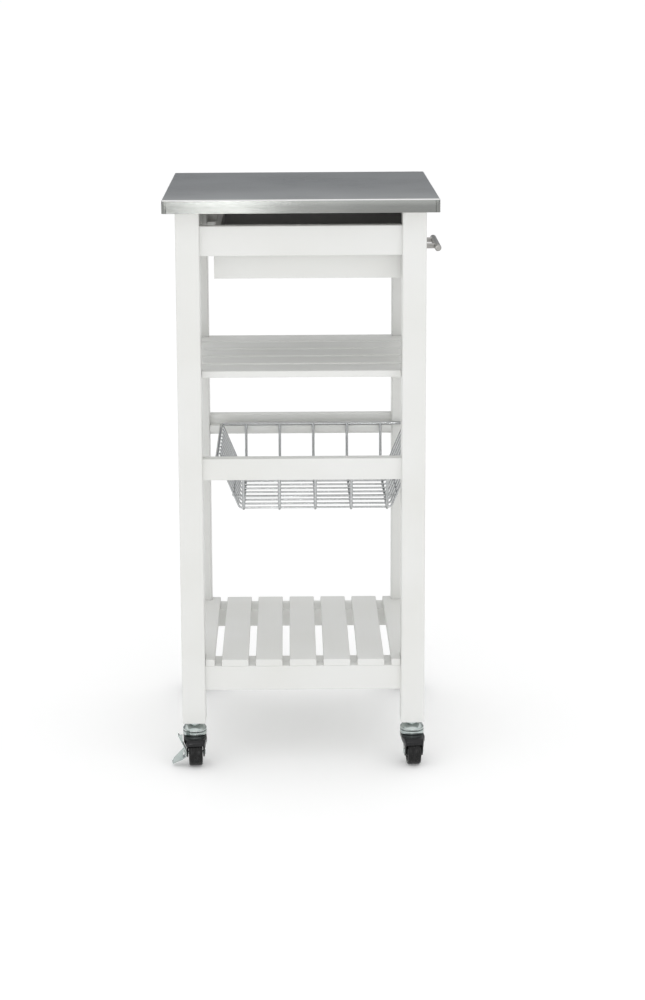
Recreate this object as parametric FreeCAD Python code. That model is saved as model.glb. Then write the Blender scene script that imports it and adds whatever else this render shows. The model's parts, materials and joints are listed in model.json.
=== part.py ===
import FreeCAD, Part
import math
import os

os.makedirs("parts", exist_ok=True)

V = FreeCAD.Vector
X_AXIS = V(1, 0, 0)
Y_AXIS = V(0, 1, 0)
Z_AXIS = V(0, 0, 1)

# Millimetres. +Z is up and the drawer opens towards +X. The pieces are drawn round
# the worktop's middle, and save() moves them so that the origin is on the floor
# under the middle of the whole cart, handle included.

# Worktop: a board wrapped in folded steel.
HEIGHT = 860.0
TOP_LENGTH = 400.0
TOP_DEPTH = 370.0
SKIN = 1.0
CORE = 18.0
LIP = 20.0

# Frame: square legs and dowelled rails, centred on the legs.
LEG = 35.0
FRAME_X = 182.0
FRAME_Y = 167.0
LEG_BOTTOM = 64.0
LEG_TOP = HEIGHT - SKIN - CORE
INNER_X = FRAME_X - LEG
INNER_Y = FRAME_Y - LEG
RAIL = 18.0
RAIL_X = FRAME_X - LEG / 2
RAIL_Y = FRAME_Y - LEG / 2
RAIL_INSIDE_Y = RAIL_Y - RAIL / 2
FIT = 0.5
EASED = 1.0

# Heights of the rails, each as its bottom and its top.
APRON = (774.5, 818.5)
TOP_FRONT_RAIL = (819.0, LEG_TOP)
TOP_REAR_RAIL = (775.0, LEG_TOP)
SLAT = 10.0
MID_TOP = 601.5
MID_RAIL = (MID_TOP - SLAT - 30.0, MID_TOP - SLAT)
BASKET_RAIL = (439.5, 472.0)
LOW_TOP = 162.0
LOW_RAIL = (114.0, LOW_TOP - SLAT)

# Dowels that join rails to legs.
DOWEL_R = 4.0
DOWEL_DEPTH = 14.0
DOWEL_END_GAP = 0.5
DOWEL_SPACING = 24.0
TALL_RAIL = 40.0
GLUE_GAP = 0.1

# Slatted shelves.
MID_SLATS = 5
MID_SLAT_WIDTH = 50.0
MID_PITCH = 60.0
LOW_SLATS = 7
LOW_SLAT_WIDTH = 40.0
LOW_PITCH = 51.0
LOW_BACK_END = 148.5
SLAT_END_X = 173.0
SLAT_ROUND = 1.5
BATTEN = (113.0, RAIL_INSIDE_Y)

# Drawer.
DRAWER_BACK_X = -127.5
DRAWER_HALF = 130.0
BOX_BOARD = 12.0
BACK_BOARD = 9.0
BOX_BOTTOM = 737.0
BOX_TOP = 808.0
FRONT_LOW = 724.0
FRONT_HIGH = 816.0
FRONT_BOARD = 18.0
FLOOR_BOARD = 4.0
FLOOR_Z = 744.0
FLOOR_GROOVE = 5.0
FLOOR_BACK_X = DRAWER_BACK_X + 2.0
RUNNER_LOW = 779.0
RUNNER_HIGH = 788.0
RUNNER_INSIDE = 124.6
GROOVE_DEPTH = 6.0
GROOVE_PLAY = 0.5
GROOVE_END_X = INNER_X + 4.0
HANDLE_Z = 770.0
HANDLE_X = 206.5
HANDLE_R = 5.0
HANDLE_LENGTH = 112.0
HANDLE_CHAMFER = 0.8
POST_SPACING = 64.0
POST_R = 4.0
SCREW_R = 2.0
SCREW_HEAD_R = 3.8
SCREW_HEAD = 2.5
POST_SCREW = 10.0
POST_SINK = 1.0

# Screws that hold the worktop from below, in the top end rails.
TOP_SCREW_Y = 90.0
TOP_SCREW = 30.0
TOP_SCREW_HEAD_Z = LEG_TOP - 20.0

MIDDLE_X = (HANDLE_X + HANDLE_R - TOP_LENGTH / 2) / 2

# Wire basket, hung by its rim on two runner strips.
BASKET_X = 20.0
RIM_HALF_X = 148.0
RIM_HALF_Y = 128.5
RIM_Z = 459.0
RIM_R = 2.5
RIM_BEND = 12.0
FLOOR_HALF_X = 114.0
FLOOR_HALF_Y = 113.0
BASKET_FLOOR = 382.0
LONG_R = 1.5
LONG_WIRES = 11
LONG_PITCH = 22.4
CROSS_R = 2.2
CROSS_WIRES = 5
CROSS_PITCH = 54.0
WELD = 0.5
BELT_Z = 403.0
STRIP_INSIDE = 127.5
STRIP = 10.0
SLIDE_GAP = 0.3

# Casters. Their pieces are drawn with the stem on the Z axis, the wheel trailing
# towards -Y and the axle along X.
WHEEL_R = 20.0
WHEEL_WIDTH = 20.0
TREAD_BEVEL = 2.5
WEB_DEPTH = 2.0
WEB_R = 14.5
HUB_R = 7.0
TRAIL = 18.0
AXLE_R = 2.5
AXLE_PLAY = 0.08
STEM_R = 4.0
COLLAR_R = 8.0
INSERT_R = 5.5
INSERT_DEPTH = 24.0
CUP_R = 18.0
CUP_CHAMFER = 1.0
CUP_RIM = 2.5
CUP_SHOULDER_R = 14.0
CUP_SHOULDER = 9.0
CUP_HEIGHT = 10.5
STEM_TIP = 1.0
FORK_INSIDE = 11.5
FORK_SHEET = 2.0
AXLE_HALF = FORK_INSIDE + FORK_SHEET
FORK_BACK = 14.0
FOOT_R = 7.0
HOOD_R = 11.0
HOOD_FRONT = -35.0
SKIRT_Z = 34.5
CHEEK_Z = 27.0
SHOULDER_Z = 37.0
SHOULDER_HALF = 17.5
FRONT_HALF = 13.0
NARROWS_Y = -19.0
BACK_HALF = 12.0
RING_LOW = 43.0
RING_HIGH = 50.0
RING_CHAMFER = 1.5
RACE_GAP = 0.5
RIVET_HEAD = 1.5
LEVER_SHEET = 1.6
LEVER_GAP = 0.3
LEVER_HALF = 7.0

# The brake lever's bends, and the outlines of its two stiffening flanges, as steps
# away from the fork and up from the axle.
LEVER_BENDS = [(11, 29), (4.5, 15), (0, 4.5), (0, -4.5), (4.5, -8), (20.5, -14.5)]
TAB_FLANGE = [(11, 29), (4.9, 31), (4.9, 16)]
PEDAL_FLANGE = [(2.2, 11), (5, 8.5), (19, -6), (20.5, -14.5), (5, -8), (4.8, 0), (2.4, 6.5)]
CASTERS = {
    "near_left": (-1, -1, 5.0, True),
    "near_right": (1, -1, 4.0, False),
    "far_left": (-1, 1, 205.0, False),
    "far_right": (1, 1, 170.0, True),
}


def block(x, y, z):
    """A box from its low and high limit along each axis."""
    return Part.makeBox(x[1] - x[0], y[1] - y[0], z[1] - z[0], V(x[0], y[0], z[0]))


def rod(start, end, radius):
    """A round bar between two points."""
    run = end - start
    return Part.makeCylinder(radius, run.Length, start, run)


def mirrored_y(span):
    """The same span on the far side of the XZ plane."""
    return (-span[1], -span[0])


def along_edges(shape, direction):
    """The straight edges of a shape that run along one axis."""
    found = []
    for edge in shape.Edges:
        run = edge.Vertexes[-1].Point - edge.Vertexes[0].Point
        if run.Length > 0 and run.cross(direction).Length < 1e-6 * run.Length:
            found.append(edge)
    return found


def eased(shape, direction, radius):
    """A shape with the edges along one axis rounded."""
    return shape.makeFillet(radius, along_edges(shape, direction))


def level_edges(shape, z):
    """The edges of a shape that lie at one height."""
    return [e for e in shape.Edges if abs(e.BoundBox.ZMin - z) < 1e-4 and abs(e.BoundBox.ZMax - z) < 1e-4]


def save(name, shape):
    """One STEP file, named for its node, round the whole cart's middle."""
    shape = shape.translated(V(-MIDDLE_X, 0, 0))
    shape.exportStep("parts/" + name + ".step")
    print(name, len(shape.Solids), round(shape.Volume / 1000, 2), "cm3", shape.isValid())


def worktop_core():
    return block(
        (-TOP_LENGTH / 2 + SKIN, TOP_LENGTH / 2 - SKIN),
        (-TOP_DEPTH / 2 + SKIN, TOP_DEPTH / 2 - SKIN),
        (LEG_TOP, HEIGHT - SKIN),
    )


def worktop_skin():
    outside = block(
        (-TOP_LENGTH / 2, TOP_LENGTH / 2),
        (-TOP_DEPTH / 2, TOP_DEPTH / 2),
        (HEIGHT - LIP, HEIGHT),
    )
    inside = block(
        (-TOP_LENGTH / 2 + SKIN, TOP_LENGTH / 2 - SKIN),
        (-TOP_DEPTH / 2 + SKIN, TOP_DEPTH / 2 - SKIN),
        (HEIGHT - LIP, HEIGHT - SKIN),
    )
    return eased(outside, Z_AXIS, SKIN / 2).cut(inside)


def dowel_heights(rail):
    """One dowel in a low rail, two in a tall one."""
    low, high = rail
    middle = (low + high) / 2
    if high - low < TALL_RAIL:
        return [middle]
    return [middle - DOWEL_SPACING / 2, middle + DOWEL_SPACING / 2]


def dowels(radius, reach):
    """Every dowel of the frame: those of the long rails, then those of the end rails."""
    pins = []
    for side_x in (-1, 1):
        for side_y in (-1, 1):
            for rail in (APRON, BASKET_RAIL, LOW_RAIL):
                for z in dowel_heights(rail):
                    start = V(side_x * (INNER_X - reach), side_y * RAIL_Y, z)
                    end = V(side_x * (INNER_X + reach), side_y * RAIL_Y, z)
                    pins.append(rod(start, end, radius))
            top_rail = TOP_FRONT_RAIL if side_x > 0 else TOP_REAR_RAIL
            for rail in (top_rail, MID_RAIL, LOW_RAIL):
                for z in dowel_heights(rail):
                    start = V(side_x * RAIL_X, side_y * (INNER_Y - reach), z)
                    end = V(side_x * RAIL_X, side_y * (INNER_Y + reach), z)
                    pins.append(rod(start, end, radius))
    return pins


def leg(side_x, side_y, holes):
    x = sorted((side_x * INNER_X, side_x * FRAME_X))
    y = sorted((side_y * INNER_Y, side_y * FRAME_Y))
    post = eased(block(x, y, (LEG_BOTTOM, LEG_TOP)), Z_AXIS, 2 * EASED)
    post = post.makeFillet(EASED, level_edges(post, LEG_BOTTOM))
    socket = Part.makeCylinder(
        INSERT_R + GLUE_GAP,
        INSERT_DEPTH + 1,
        V(side_x * RAIL_X, side_y * RAIL_Y, LEG_BOTTOM),
    )
    return post.cut([socket] + holes)


def long_rail(side_y, rail, holes):
    """A rail along X, between two legs."""
    y = (side_y * RAIL_Y - RAIL / 2, side_y * RAIL_Y + RAIL / 2)
    bar = eased(block((-INNER_X, INNER_X), y, rail), X_AXIS, SLAT_ROUND)
    return bar.cut(holes)


def end_rail(side_x, rail, holes):
    """A rail along Y, between two legs."""
    x = (side_x * RAIL_X - RAIL / 2, side_x * RAIL_X + RAIL / 2)
    bar = eased(block(x, (-INNER_Y, INNER_Y), rail), Y_AXIS, SLAT_ROUND)
    return bar.cut(holes)


def leg_notches():
    """Room for the four legs, cut from the shelves' outer slats."""
    cuts = []
    for side_x in (-1, 1):
        for side_y in (-1, 1):
            x = sorted((side_x * (INNER_X - FIT), side_x * (FRAME_X + LEG)))
            y = sorted((side_y * (INNER_Y - FIT), side_y * (FRAME_Y + LEG)))
            cuts.append(block(x, y, (LEG_BOTTOM, LEG_TOP)))
    return cuts


def mid_slats():
    """Slats along X that rest on the end rails."""
    slats = []
    for i in range(MID_SLATS):
        y = (i - (MID_SLATS - 1) / 2) * MID_PITCH
        width = (y - MID_SLAT_WIDTH / 2, y + MID_SLAT_WIDTH / 2)
        slat = block((-SLAT_END_X, SLAT_END_X), width, (MID_TOP - SLAT, MID_TOP))
        slats.append(eased(slat, X_AXIS, SLAT_ROUND).cut(leg_notches()))
    return Part.makeCompound(slats)


def low_slats():
    """Slats along Y that rest on all four low rails."""
    slats = []
    for i in range(LOW_SLATS):
        x = (i - (LOW_SLATS - 1) / 2) * LOW_PITCH
        width = (x - LOW_SLAT_WIDTH / 2, x + LOW_SLAT_WIDTH / 2)
        slat = block(width, (-RAIL_Y - RAIL / 2, LOW_BACK_END), (LOW_TOP - SLAT, LOW_TOP))
        slats.append(eased(slat, Y_AXIS, SLAT_ROUND).cut(leg_notches()))
    return Part.makeCompound(slats)


def battens():
    """Strips under the low slats, screwed to the long rails."""
    z = (LOW_RAIL[1] - SLAT, LOW_RAIL[1])
    x = (-INNER_X + FIT, INNER_X - FIT)
    return Part.makeCompound([block(x, BATTEN, z), block(x, mirrored_y(BATTEN), z)])


def drawer_runners():
    """Strips inside the upper rails that the drawer's grooves run on."""
    span = (RUNNER_INSIDE, RAIL_INSIDE_Y)
    z = (RUNNER_LOW, RUNNER_HIGH)
    x = (-INNER_X + FIT, INNER_X - FIT)
    return Part.makeCompound([block(x, span, z), block(x, mirrored_y(span), z)])


def basket_runners():
    """Strips inside the basket rails that the basket's rim slides on."""
    span = (STRIP_INSIDE, RAIL_INSIDE_Y)
    top = RIM_Z - RIM_R - SLIDE_GAP
    z = (top - STRIP, top)
    x = (-INNER_X + FIT, INNER_X - FIT)
    return Part.makeCompound([block(x, span, z), block(x, mirrored_y(span), z)])


def top_screws():
    """Screws up through the top end rails into the worktop's board."""
    screws = []
    for x in (RAIL_X, -RAIL_X):
        for y in (-TOP_SCREW_Y, TOP_SCREW_Y):
            place = V(x, y, TOP_SCREW_HEAD_Z)
            head = Part.makeCylinder(SCREW_HEAD_R, SCREW_HEAD, place)
            screws.append(head.fuse(Part.makeCylinder(SCREW_R, TOP_SCREW, place)))
    return screws


def screw_bores(rail):
    """Stepped bores for the two screws of each top end rail."""
    bores = []
    for x in (RAIL_X, -RAIL_X):
        for y in (-TOP_SCREW_Y, TOP_SCREW_Y):
            depth = TOP_SCREW_HEAD_Z + SCREW_HEAD - rail[0]
            bores.append(Part.makeCylinder(SCREW_HEAD_R + GLUE_GAP, depth, V(x, y, rail[0])))
            shank = V(x, y, TOP_SCREW_HEAD_Z)
            bores.append(Part.makeCylinder(SCREW_R + GLUE_GAP, TOP_SCREW + 1, shank))
    return bores


def drawer_front():
    x = (FRAME_X - FRONT_BOARD, FRAME_X)
    panel = block(x, (-DRAWER_HALF, DRAWER_HALF), (FRONT_LOW, FRONT_HIGH))
    panel = eased(eased(panel, Y_AXIS, SLAT_ROUND), Z_AXIS, EASED)
    return panel.cut(handle_screw_bores())


def drawer_floor_space(play):
    """The drawer floor's panel, or with play, the groove that holds it."""
    x = (FLOOR_BACK_X - play, FRAME_X - FRONT_BOARD + play / 2)
    half = DRAWER_HALF - BOX_BOARD + FLOOR_GROOVE + play
    return block((x[0], x[1]), (-half, half), (FLOOR_Z - play, FLOOR_Z + FLOOR_BOARD + play))


def drawer_side(side_y):
    x = (DRAWER_BACK_X, FRAME_X - FRONT_BOARD)
    y = sorted((side_y * (DRAWER_HALF - BOX_BOARD), side_y * DRAWER_HALF))
    board = block(x, y, (BOX_BOTTOM, BOX_TOP))
    board = board.makeFillet(EASED, along_edges(board, X_AXIS))
    depth = sorted((side_y * (DRAWER_HALF - GROOVE_DEPTH), side_y * (DRAWER_HALF + 1)))
    groove = block(
        (DRAWER_BACK_X - 1, GROOVE_END_X),
        depth,
        (RUNNER_LOW - GROOVE_PLAY, RUNNER_HIGH + GROOVE_PLAY),
    )
    return board.cut([groove, drawer_floor_space(GLUE_GAP)])


def drawer_back():
    x = (DRAWER_BACK_X, DRAWER_BACK_X + BACK_BOARD)
    half = DRAWER_HALF - BOX_BOARD
    board = block(x, (-half, half), (BOX_BOTTOM, BOX_TOP))
    return board.cut(drawer_floor_space(GLUE_GAP))


def drawer_floor():
    return drawer_floor_space(0)


def handle_bar():
    half = HANDLE_LENGTH / 2
    bar = rod(V(HANDLE_X, -half, HANDLE_Z), V(HANDLE_X, half, HANDLE_Z), HANDLE_R)
    return bar.makeChamfer(HANDLE_CHAMFER, bar.Edges[0:1] + bar.Edges[2:3]).cut(post_tips())


def post_tips():
    """Where the two posts enter the bar."""
    tips = []
    for y in (-POST_SPACING / 2, POST_SPACING / 2):
        end = V(HANDLE_X - POST_SINK + GLUE_GAP, y, HANDLE_Z)
        tips.append(rod(V(FRAME_X, y, HANDLE_Z), end, POST_R + GLUE_GAP))
    return tips


def handle_posts():
    posts = []
    for y in (-POST_SPACING / 2, POST_SPACING / 2):
        foot = V(FRAME_X, y, HANDLE_Z)
        post = rod(foot, V(HANDLE_X - POST_SINK, y, HANDLE_Z), POST_R)
        bore = rod(foot, V(FRAME_X + POST_SCREW + GLUE_GAP, y, HANDLE_Z), SCREW_R + GLUE_GAP)
        posts.append(post.cut(bore))
    return Part.makeCompound(posts)


def handle_screw_bores():
    bores = []
    for y in (-POST_SPACING / 2, POST_SPACING / 2):
        start = V(FRAME_X - FRONT_BOARD - 1, y, HANDLE_Z)
        bores.append(rod(start, V(FRAME_X + 1, y, HANDLE_Z), SCREW_R + GLUE_GAP))
    return bores


def handle_screws():
    screws = []
    for y in (-POST_SPACING / 2, POST_SPACING / 2):
        back = FRAME_X - FRONT_BOARD
        head = rod(V(back - SCREW_HEAD, y, HANDLE_Z), V(back, y, HANDLE_Z), SCREW_HEAD_R)
        shank = rod(V(back - SCREW_HEAD, y, HANDLE_Z), V(FRAME_X + POST_SCREW, y, HANDLE_Z), SCREW_R)
        screws.append(head.fuse(shank))
    return Part.makeCompound(screws)


def ring_wire(half_x, half_y, z, radius, bend):
    """A closed rectangular wire with bent corners, round the basket's axis."""
    x0, x1 = BASKET_X - half_x, BASKET_X + half_x
    edges = []
    for (cx, cy, turn) in (
        (x1 - bend, half_y - bend, 0),
        (x0 + bend, half_y - bend, 90),
        (x0 + bend, -half_y + bend, 180),
        (x1 - bend, -half_y + bend, 270),
    ):
        edges.append(Part.makeCircle(bend, V(cx, cy, z), Z_AXIS, turn, turn + 90))
    path = []
    for i in range(4):
        path.append(edges[i])
        path.append(Part.makeLine(edges[i].Vertexes[-1].Point, edges[(i + 1) % 4].Vertexes[0].Point))
    spine = Part.Wire(path)
    start = edges[0].Vertexes[0].Point
    section = Part.Wire([Part.makeCircle(radius, start, Y_AXIS)])
    return spine.makePipeShell([section], True, True)


def basket_rim():
    return ring_wire(RIM_HALF_X, RIM_HALF_Y, RIM_Z, RIM_R, RIM_BEND)


def cross_places():
    return [BASKET_X + (i - (CROSS_WIRES - 1) / 2) * CROSS_PITCH for i in range(CROSS_WIRES)]


def long_places():
    return [(i - (LONG_WIRES - 1) / 2) * LONG_PITCH for i in range(LONG_WIRES)]


def welded(wires):
    """One grille: wires that sink a little into each other where they cross."""
    return wires[0].multiFuse(wires[1:]).removeSplitter()


def basket_floor_grille():
    z_long = BASKET_FLOOR + CROSS_R + LONG_R - WELD
    wires = []
    for x in cross_places():
        near_end = V(x, -FLOOR_HALF_Y, BASKET_FLOOR)
        wires.append(rod(near_end, V(x, FLOOR_HALF_Y, BASKET_FLOOR), CROSS_R))
    for y in long_places():
        low = V(BASKET_X - FLOOR_HALF_X, y, z_long)
        wires.append(rod(low, V(BASKET_X + FLOOR_HALF_X, y, z_long), LONG_R))
    return welded(wires)


def side_lean(z, half_floor, half_rim):
    """How far out a sloping wall stands at a given height."""
    share = (z - BASKET_FLOOR) / (RIM_Z - BASKET_FLOOR)
    return half_floor + share * (half_rim - half_floor)


def basket_side_grille(side_y):
    """The upright parts of the cross wires, with the wire that runs across them."""
    rim = RIM_HALF_Y - RIM_R - CROSS_R + WELD
    wires = []
    for x in cross_places():
        foot = V(x, side_y * FLOOR_HALF_Y, BASKET_FLOOR)
        wires.append(rod(foot, V(x, side_y * rim, RIM_Z), CROSS_R))
    y = side_y * (side_lean(BELT_Z, FLOOR_HALF_Y, rim) - CROSS_R - LONG_R + WELD)
    reach = side_lean(BELT_Z, FLOOR_HALF_X, RIM_HALF_X - RIM_R)
    wires.append(rod(V(BASKET_X - reach, y, BELT_Z), V(BASKET_X + reach, y, BELT_Z), LONG_R))
    return welded(wires)


def basket_end_grille(side_x):
    """The upright parts of the long wires, with the wire that runs across them."""
    rim = RIM_HALF_X - RIM_R - LONG_R + WELD
    foot_z = BASKET_FLOOR + CROSS_R + LONG_R - WELD
    wires = []
    for y in long_places():
        foot = V(BASKET_X + side_x * FLOOR_HALF_X, y, foot_z)
        wires.append(rod(foot, V(BASKET_X + side_x * rim, y, RIM_Z), LONG_R))
    x = BASKET_X + side_x * (side_lean(BELT_Z, FLOOR_HALF_X, rim) + LONG_R)
    reach = FLOOR_HALF_Y
    wires.append(rod(V(x, -reach, BELT_Z), V(x, reach, BELT_Z), LONG_R))
    return welded(wires)


def turned_profile(points):
    """A solid of revolution about Z from (radius, height) points."""
    corners = [V(r, 0, z) for r, z in points]
    face = Part.Face(Part.makePolygon(corners + corners[:1]))
    return face.revolve(V(0, 0, 0), Z_AXIS, 360)


def placed(shape, side_x, side_y, yaw):
    """A caster piece, turned about its stem and moved under its leg."""
    turned = shape.copy()
    turned.rotate(V(0, 0, 0), Z_AXIS, yaw)
    turned.translate(V(side_x * RAIL_X, side_y * RAIL_Y, 0))
    return turned


def caster_insert():
    """The threaded insert in a leg's end."""
    outside = Part.makeCylinder(INSERT_R, INSERT_DEPTH, V(0, 0, LEG_BOTTOM))
    bore = Part.makeCylinder(STEM_R + GLUE_GAP, INSERT_DEPTH, V(0, 0, LEG_BOTTOM))
    return outside.cut(bore)


def caster_stem():
    """The stem with its collar and the domed upper bearing cup."""
    low = RING_HIGH + RACE_GAP
    return turned_profile([
        (0, low),
        (CUP_R - CUP_CHAMFER, low),
        (CUP_R, low + CUP_CHAMFER),
        (CUP_R, low + CUP_RIM),
        (CUP_SHOULDER_R, low + CUP_SHOULDER),
        (COLLAR_R, low + CUP_HEIGHT),
        (COLLAR_R, LEG_BOTTOM),
        (STEM_R, LEG_BOTTOM),
        (STEM_R, LEG_BOTTOM + INSERT_DEPTH - 2 * STEM_TIP),
        (STEM_R - STEM_TIP, LEG_BOTTOM + INSERT_DEPTH - STEM_TIP),
        (0, LEG_BOTTOM + INSERT_DEPTH - STEM_TIP),
    ])


def fork_outline():
    """The cheeks' outline in YZ: a round hood over the wheel, and a round foot at the axle."""
    crown = RING_LOW + 1
    hood = V(0, HOOD_FRONT + HOOD_R, crown - HOOD_R)
    slant = HOOD_R * math.sqrt(0.5)
    front = V(0, HOOD_FRONT, hood.z)
    foot_front = V(0, -TRAIL - FOOT_R, WHEEL_R)
    foot_back = V(0, -TRAIL + FOOT_R, WHEEL_R)
    back = V(0, FORK_BACK, crown)
    return Part.Wire([
        Part.makeLine(back, hood + V(0, 0, HOOD_R)),
        Part.Arc(hood + V(0, 0, HOOD_R), hood + V(0, -slant, slant), front).toShape(),
        Part.makeLine(front, foot_front),
        Part.Arc(foot_front, V(0, -TRAIL, WHEEL_R - FOOT_R), foot_back).toShape(),
        Part.makeLine(foot_back, back),
    ])


def front_view(inset):
    """The fork's outline in XZ: shoulders as wide as the bearing over narrower cheeks."""
    half = [(SHOULDER_HALF, RING_LOW + 1), (SHOULDER_HALF, SHOULDER_Z), (AXLE_HALF, CHEEK_Z), (AXLE_HALF, 0)]
    right = [V(x - inset, 0, z) for x, z in half]
    left = [V(-x, y, z) for x, y, z in reversed(right)]
    return Part.makePolygon(right + left + right[:1])


def top_view(inset):
    """The fork's outline in XY: the hood narrows to the front, and the back corners are cut."""
    half = [
        (BACK_HALF, FORK_BACK),
        (SHOULDER_HALF, FORK_BACK - SHOULDER_HALF + BACK_HALF),
        (SHOULDER_HALF, NARROWS_Y),
        (FRONT_HALF, HOOD_FRONT),
    ]
    right = [V(x - inset, y, 0) for x, y in half]
    left = [V(-x, y, z) for x, y, z in reversed(right)]
    return Part.makePolygon(right + left + right[:1])


def fork_space(inset, front, back, top):
    """What lies inside both outlines, between a front, a back and a top."""
    length = V(0, back - front, 0)
    across = Part.Face(front_view(inset)).extrude(length).translated(V(0, front, 0))
    plan = Part.Face(top_view(inset)).extrude(V(0, 0, top))
    return across.common(plan).removeSplitter()


def caster_fork():
    """The lower bearing ring and the fork: two cheeks, a crown and a short front skirt."""
    ring = turned_profile([
        (0, RING_LOW),
        (CUP_R - RING_CHAMFER, RING_LOW),
        (CUP_R, RING_LOW + RING_CHAMFER),
        (CUP_R, RING_HIGH - RING_CHAMFER),
        (CUP_R - RING_CHAMFER, RING_HIGH),
        (0, RING_HIGH),
    ])
    side = Part.Face(fork_outline()).extrude(V(2 * CUP_R, 0, 0)).translated(V(-CUP_R, 0, 0))
    body = side.common(fork_space(0, HOOD_FRONT, FORK_BACK, RING_LOW + 1))
    inside = fork_space(FORK_SHEET, HOOD_FRONT + FORK_SHEET, FORK_BACK + 1, RING_LOW - 1)
    room = inside.makeFillet(HOOD_R - FORK_SHEET, hood_edges(inside))
    below_skirt = block((-FORK_INSIDE, FORK_INSIDE), (HOOD_FRONT - 1, 0), (0, SKIRT_Z))
    bore = rod(V(-CUP_R, -TRAIL, WHEEL_R), V(CUP_R, -TRAIL, WHEEL_R), AXLE_R + GLUE_GAP)
    return ring.fuse(body.cut([room, below_skirt])).cut(bore)


def hood_edges(shape):
    """Where a block's front meets its top."""
    found = []
    for edge in level_edges(shape, shape.BoundBox.ZMax):
        if edge.BoundBox.YMax < shape.BoundBox.YMin + 1:
            found.append(edge)
    return found


def caster_axle(braked):
    """A riveted axle with a round head at each end, past the lever if there is one."""
    right_end = AXLE_HALF
    left_end = right_end
    if braked:
        left_end = right_end + LEVER_SHEET + 2 * LEVER_GAP
    pin = rod(V(-left_end, -TRAIL, WHEEL_R), V(right_end, -TRAIL, WHEEL_R), AXLE_R)
    heads = []
    for foot, way in ((-left_end, -1), (right_end, 1)):
        base = V(foot, -TRAIL, WHEEL_R)
        top = base + V(way * RIVET_HEAD, 0, 0)
        head = rod(base, top, AXLE_R + RIVET_HEAD)
        rims = [edge for edge in head.Edges if abs(edge.BoundBox.Center.x - top.x) < 1e-4]
        heads.append(head.makeFillet(0.8 * RIVET_HEAD, rims))
    return pin.fuse(heads)


def caster_wheel():
    """A solid wheel with a soft-cornered tread and a dished hub on each side."""
    half = WHEEL_WIDTH / 2
    one_side = [
        (AXLE_R + AXLE_PLAY, half + 1),
        (HUB_R, half + 1),
        (HUB_R, half - WEB_DEPTH),
        (WEB_R - WEB_DEPTH, half - WEB_DEPTH),
        (WEB_R, half),
        (WHEEL_R - TREAD_BEVEL, half),
        (WHEEL_R - TREAD_BEVEL / 3, half - TREAD_BEVEL / 3),
        (WHEEL_R, half - TREAD_BEVEL),
    ]
    profile = one_side + [(r, -x) for r, x in reversed(one_side)]
    wheel = turned_profile(profile)
    wheel.rotate(V(0, 0, 0), Y_AXIS, 90)
    wheel.translate(V(0, -TRAIL, WHEEL_R))
    return wheel


def bent_strip(points, sheet, y):
    """A folded strip of sheet metal from its middle line in XZ."""
    pieces = []
    for i in range(len(points) - 1):
        start = V(points[i][0], y[0], points[i][1])
        end = V(points[i + 1][0], y[0], points[i + 1][1])
        side = (end - start).cross(Y_AXIS).normalize() * (sheet / 2)
        corners = [start + side, end + side, end - side, start - side, start + side]
        pieces.append(Part.Face(Part.makePolygon(corners)).extrude(V(0, y[1] - y[0], 0)))
        if i > 0:
            pieces.append(rod(start, V(points[i][0], y[1], points[i][1]), sheet / 2))
    return pieces[0].fuse(pieces[1:]).removeSplitter()


def caster_lever():
    """A pressed brake lever that turns on the axle's left end, flanged along its front."""
    middle = -AXLE_HALF - LEVER_GAP - LEVER_SHEET / 2
    front = -TRAIL - LEVER_HALF
    line = [(middle - out, WHEEL_R + up) for out, up in LEVER_BENDS]
    lever = bent_strip(line, LEVER_SHEET, (front, -TRAIL + LEVER_HALF))
    for outline in (TAB_FLANGE, PEDAL_FLANGE):
        corners = [V(middle - out, front, WHEEL_R + up) for out, up in outline]
        flange = Part.Face(Part.makePolygon(corners + corners[:1]))
        lever = lever.fuse(flange.extrude(V(0, LEVER_SHEET, 0)))
    reach = V(LEVER_SHEET, 0, 0)
    hub = V(middle, -TRAIL, WHEEL_R)
    bore = rod(hub - reach, hub + reach, AXLE_R + AXLE_PLAY)
    return lever.removeSplitter().cut(bore)


pins = dowels(DOWEL_R, DOWEL_DEPTH)
holes = dowels(DOWEL_R + GLUE_GAP, DOWEL_DEPTH + DOWEL_END_GAP)
save("worktop_core", worktop_core().cut(screw_bores(TOP_FRONT_RAIL)))
save("worktop_skin", worktop_skin())
save("rail_dowels", Part.makeCompound(pins))
SIDES_X = (("left", -1), ("right", 1))
SIDES_Y = (("near", -1), ("far", 1))
for y_name, side_y in SIDES_Y:
    for x_name, side_x in SIDES_X:
        save(y_name + "_" + x_name + "_leg", leg(side_x, side_y, holes))
    save(y_name + "_upper_rail", long_rail(side_y, APRON, holes))
    save(y_name + "_basket_rail", long_rail(side_y, BASKET_RAIL, holes))
    save(y_name + "_low_rail", long_rail(side_y, LOW_RAIL, holes))
for x_name, side_x in SIDES_X:
    save(x_name + "_mid_rail", end_rail(side_x, MID_RAIL, holes))
    save(x_name + "_low_rail", end_rail(side_x, LOW_RAIL, holes))
save("right_top_rail", end_rail(1, TOP_FRONT_RAIL, holes + screw_bores(TOP_FRONT_RAIL)))
save("left_top_rail", end_rail(-1, TOP_REAR_RAIL, holes + screw_bores(TOP_REAR_RAIL)))
save("top_screws", Part.makeCompound(top_screws()))
save("mid_shelf_slats", mid_slats())
save("low_shelf_slats", low_slats())
save("low_shelf_battens", battens())
save("drawer_runners", drawer_runners())
save("basket_runners", basket_runners())

save("drawer_front", drawer_front())
save("drawer_back", drawer_back())
save("drawer_floor", drawer_floor())
save("near_drawer_side", drawer_side(-1))
save("far_drawer_side", drawer_side(1))
save("handle_bar", handle_bar())
save("handle_posts", handle_posts())
save("handle_screws", handle_screws())

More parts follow.
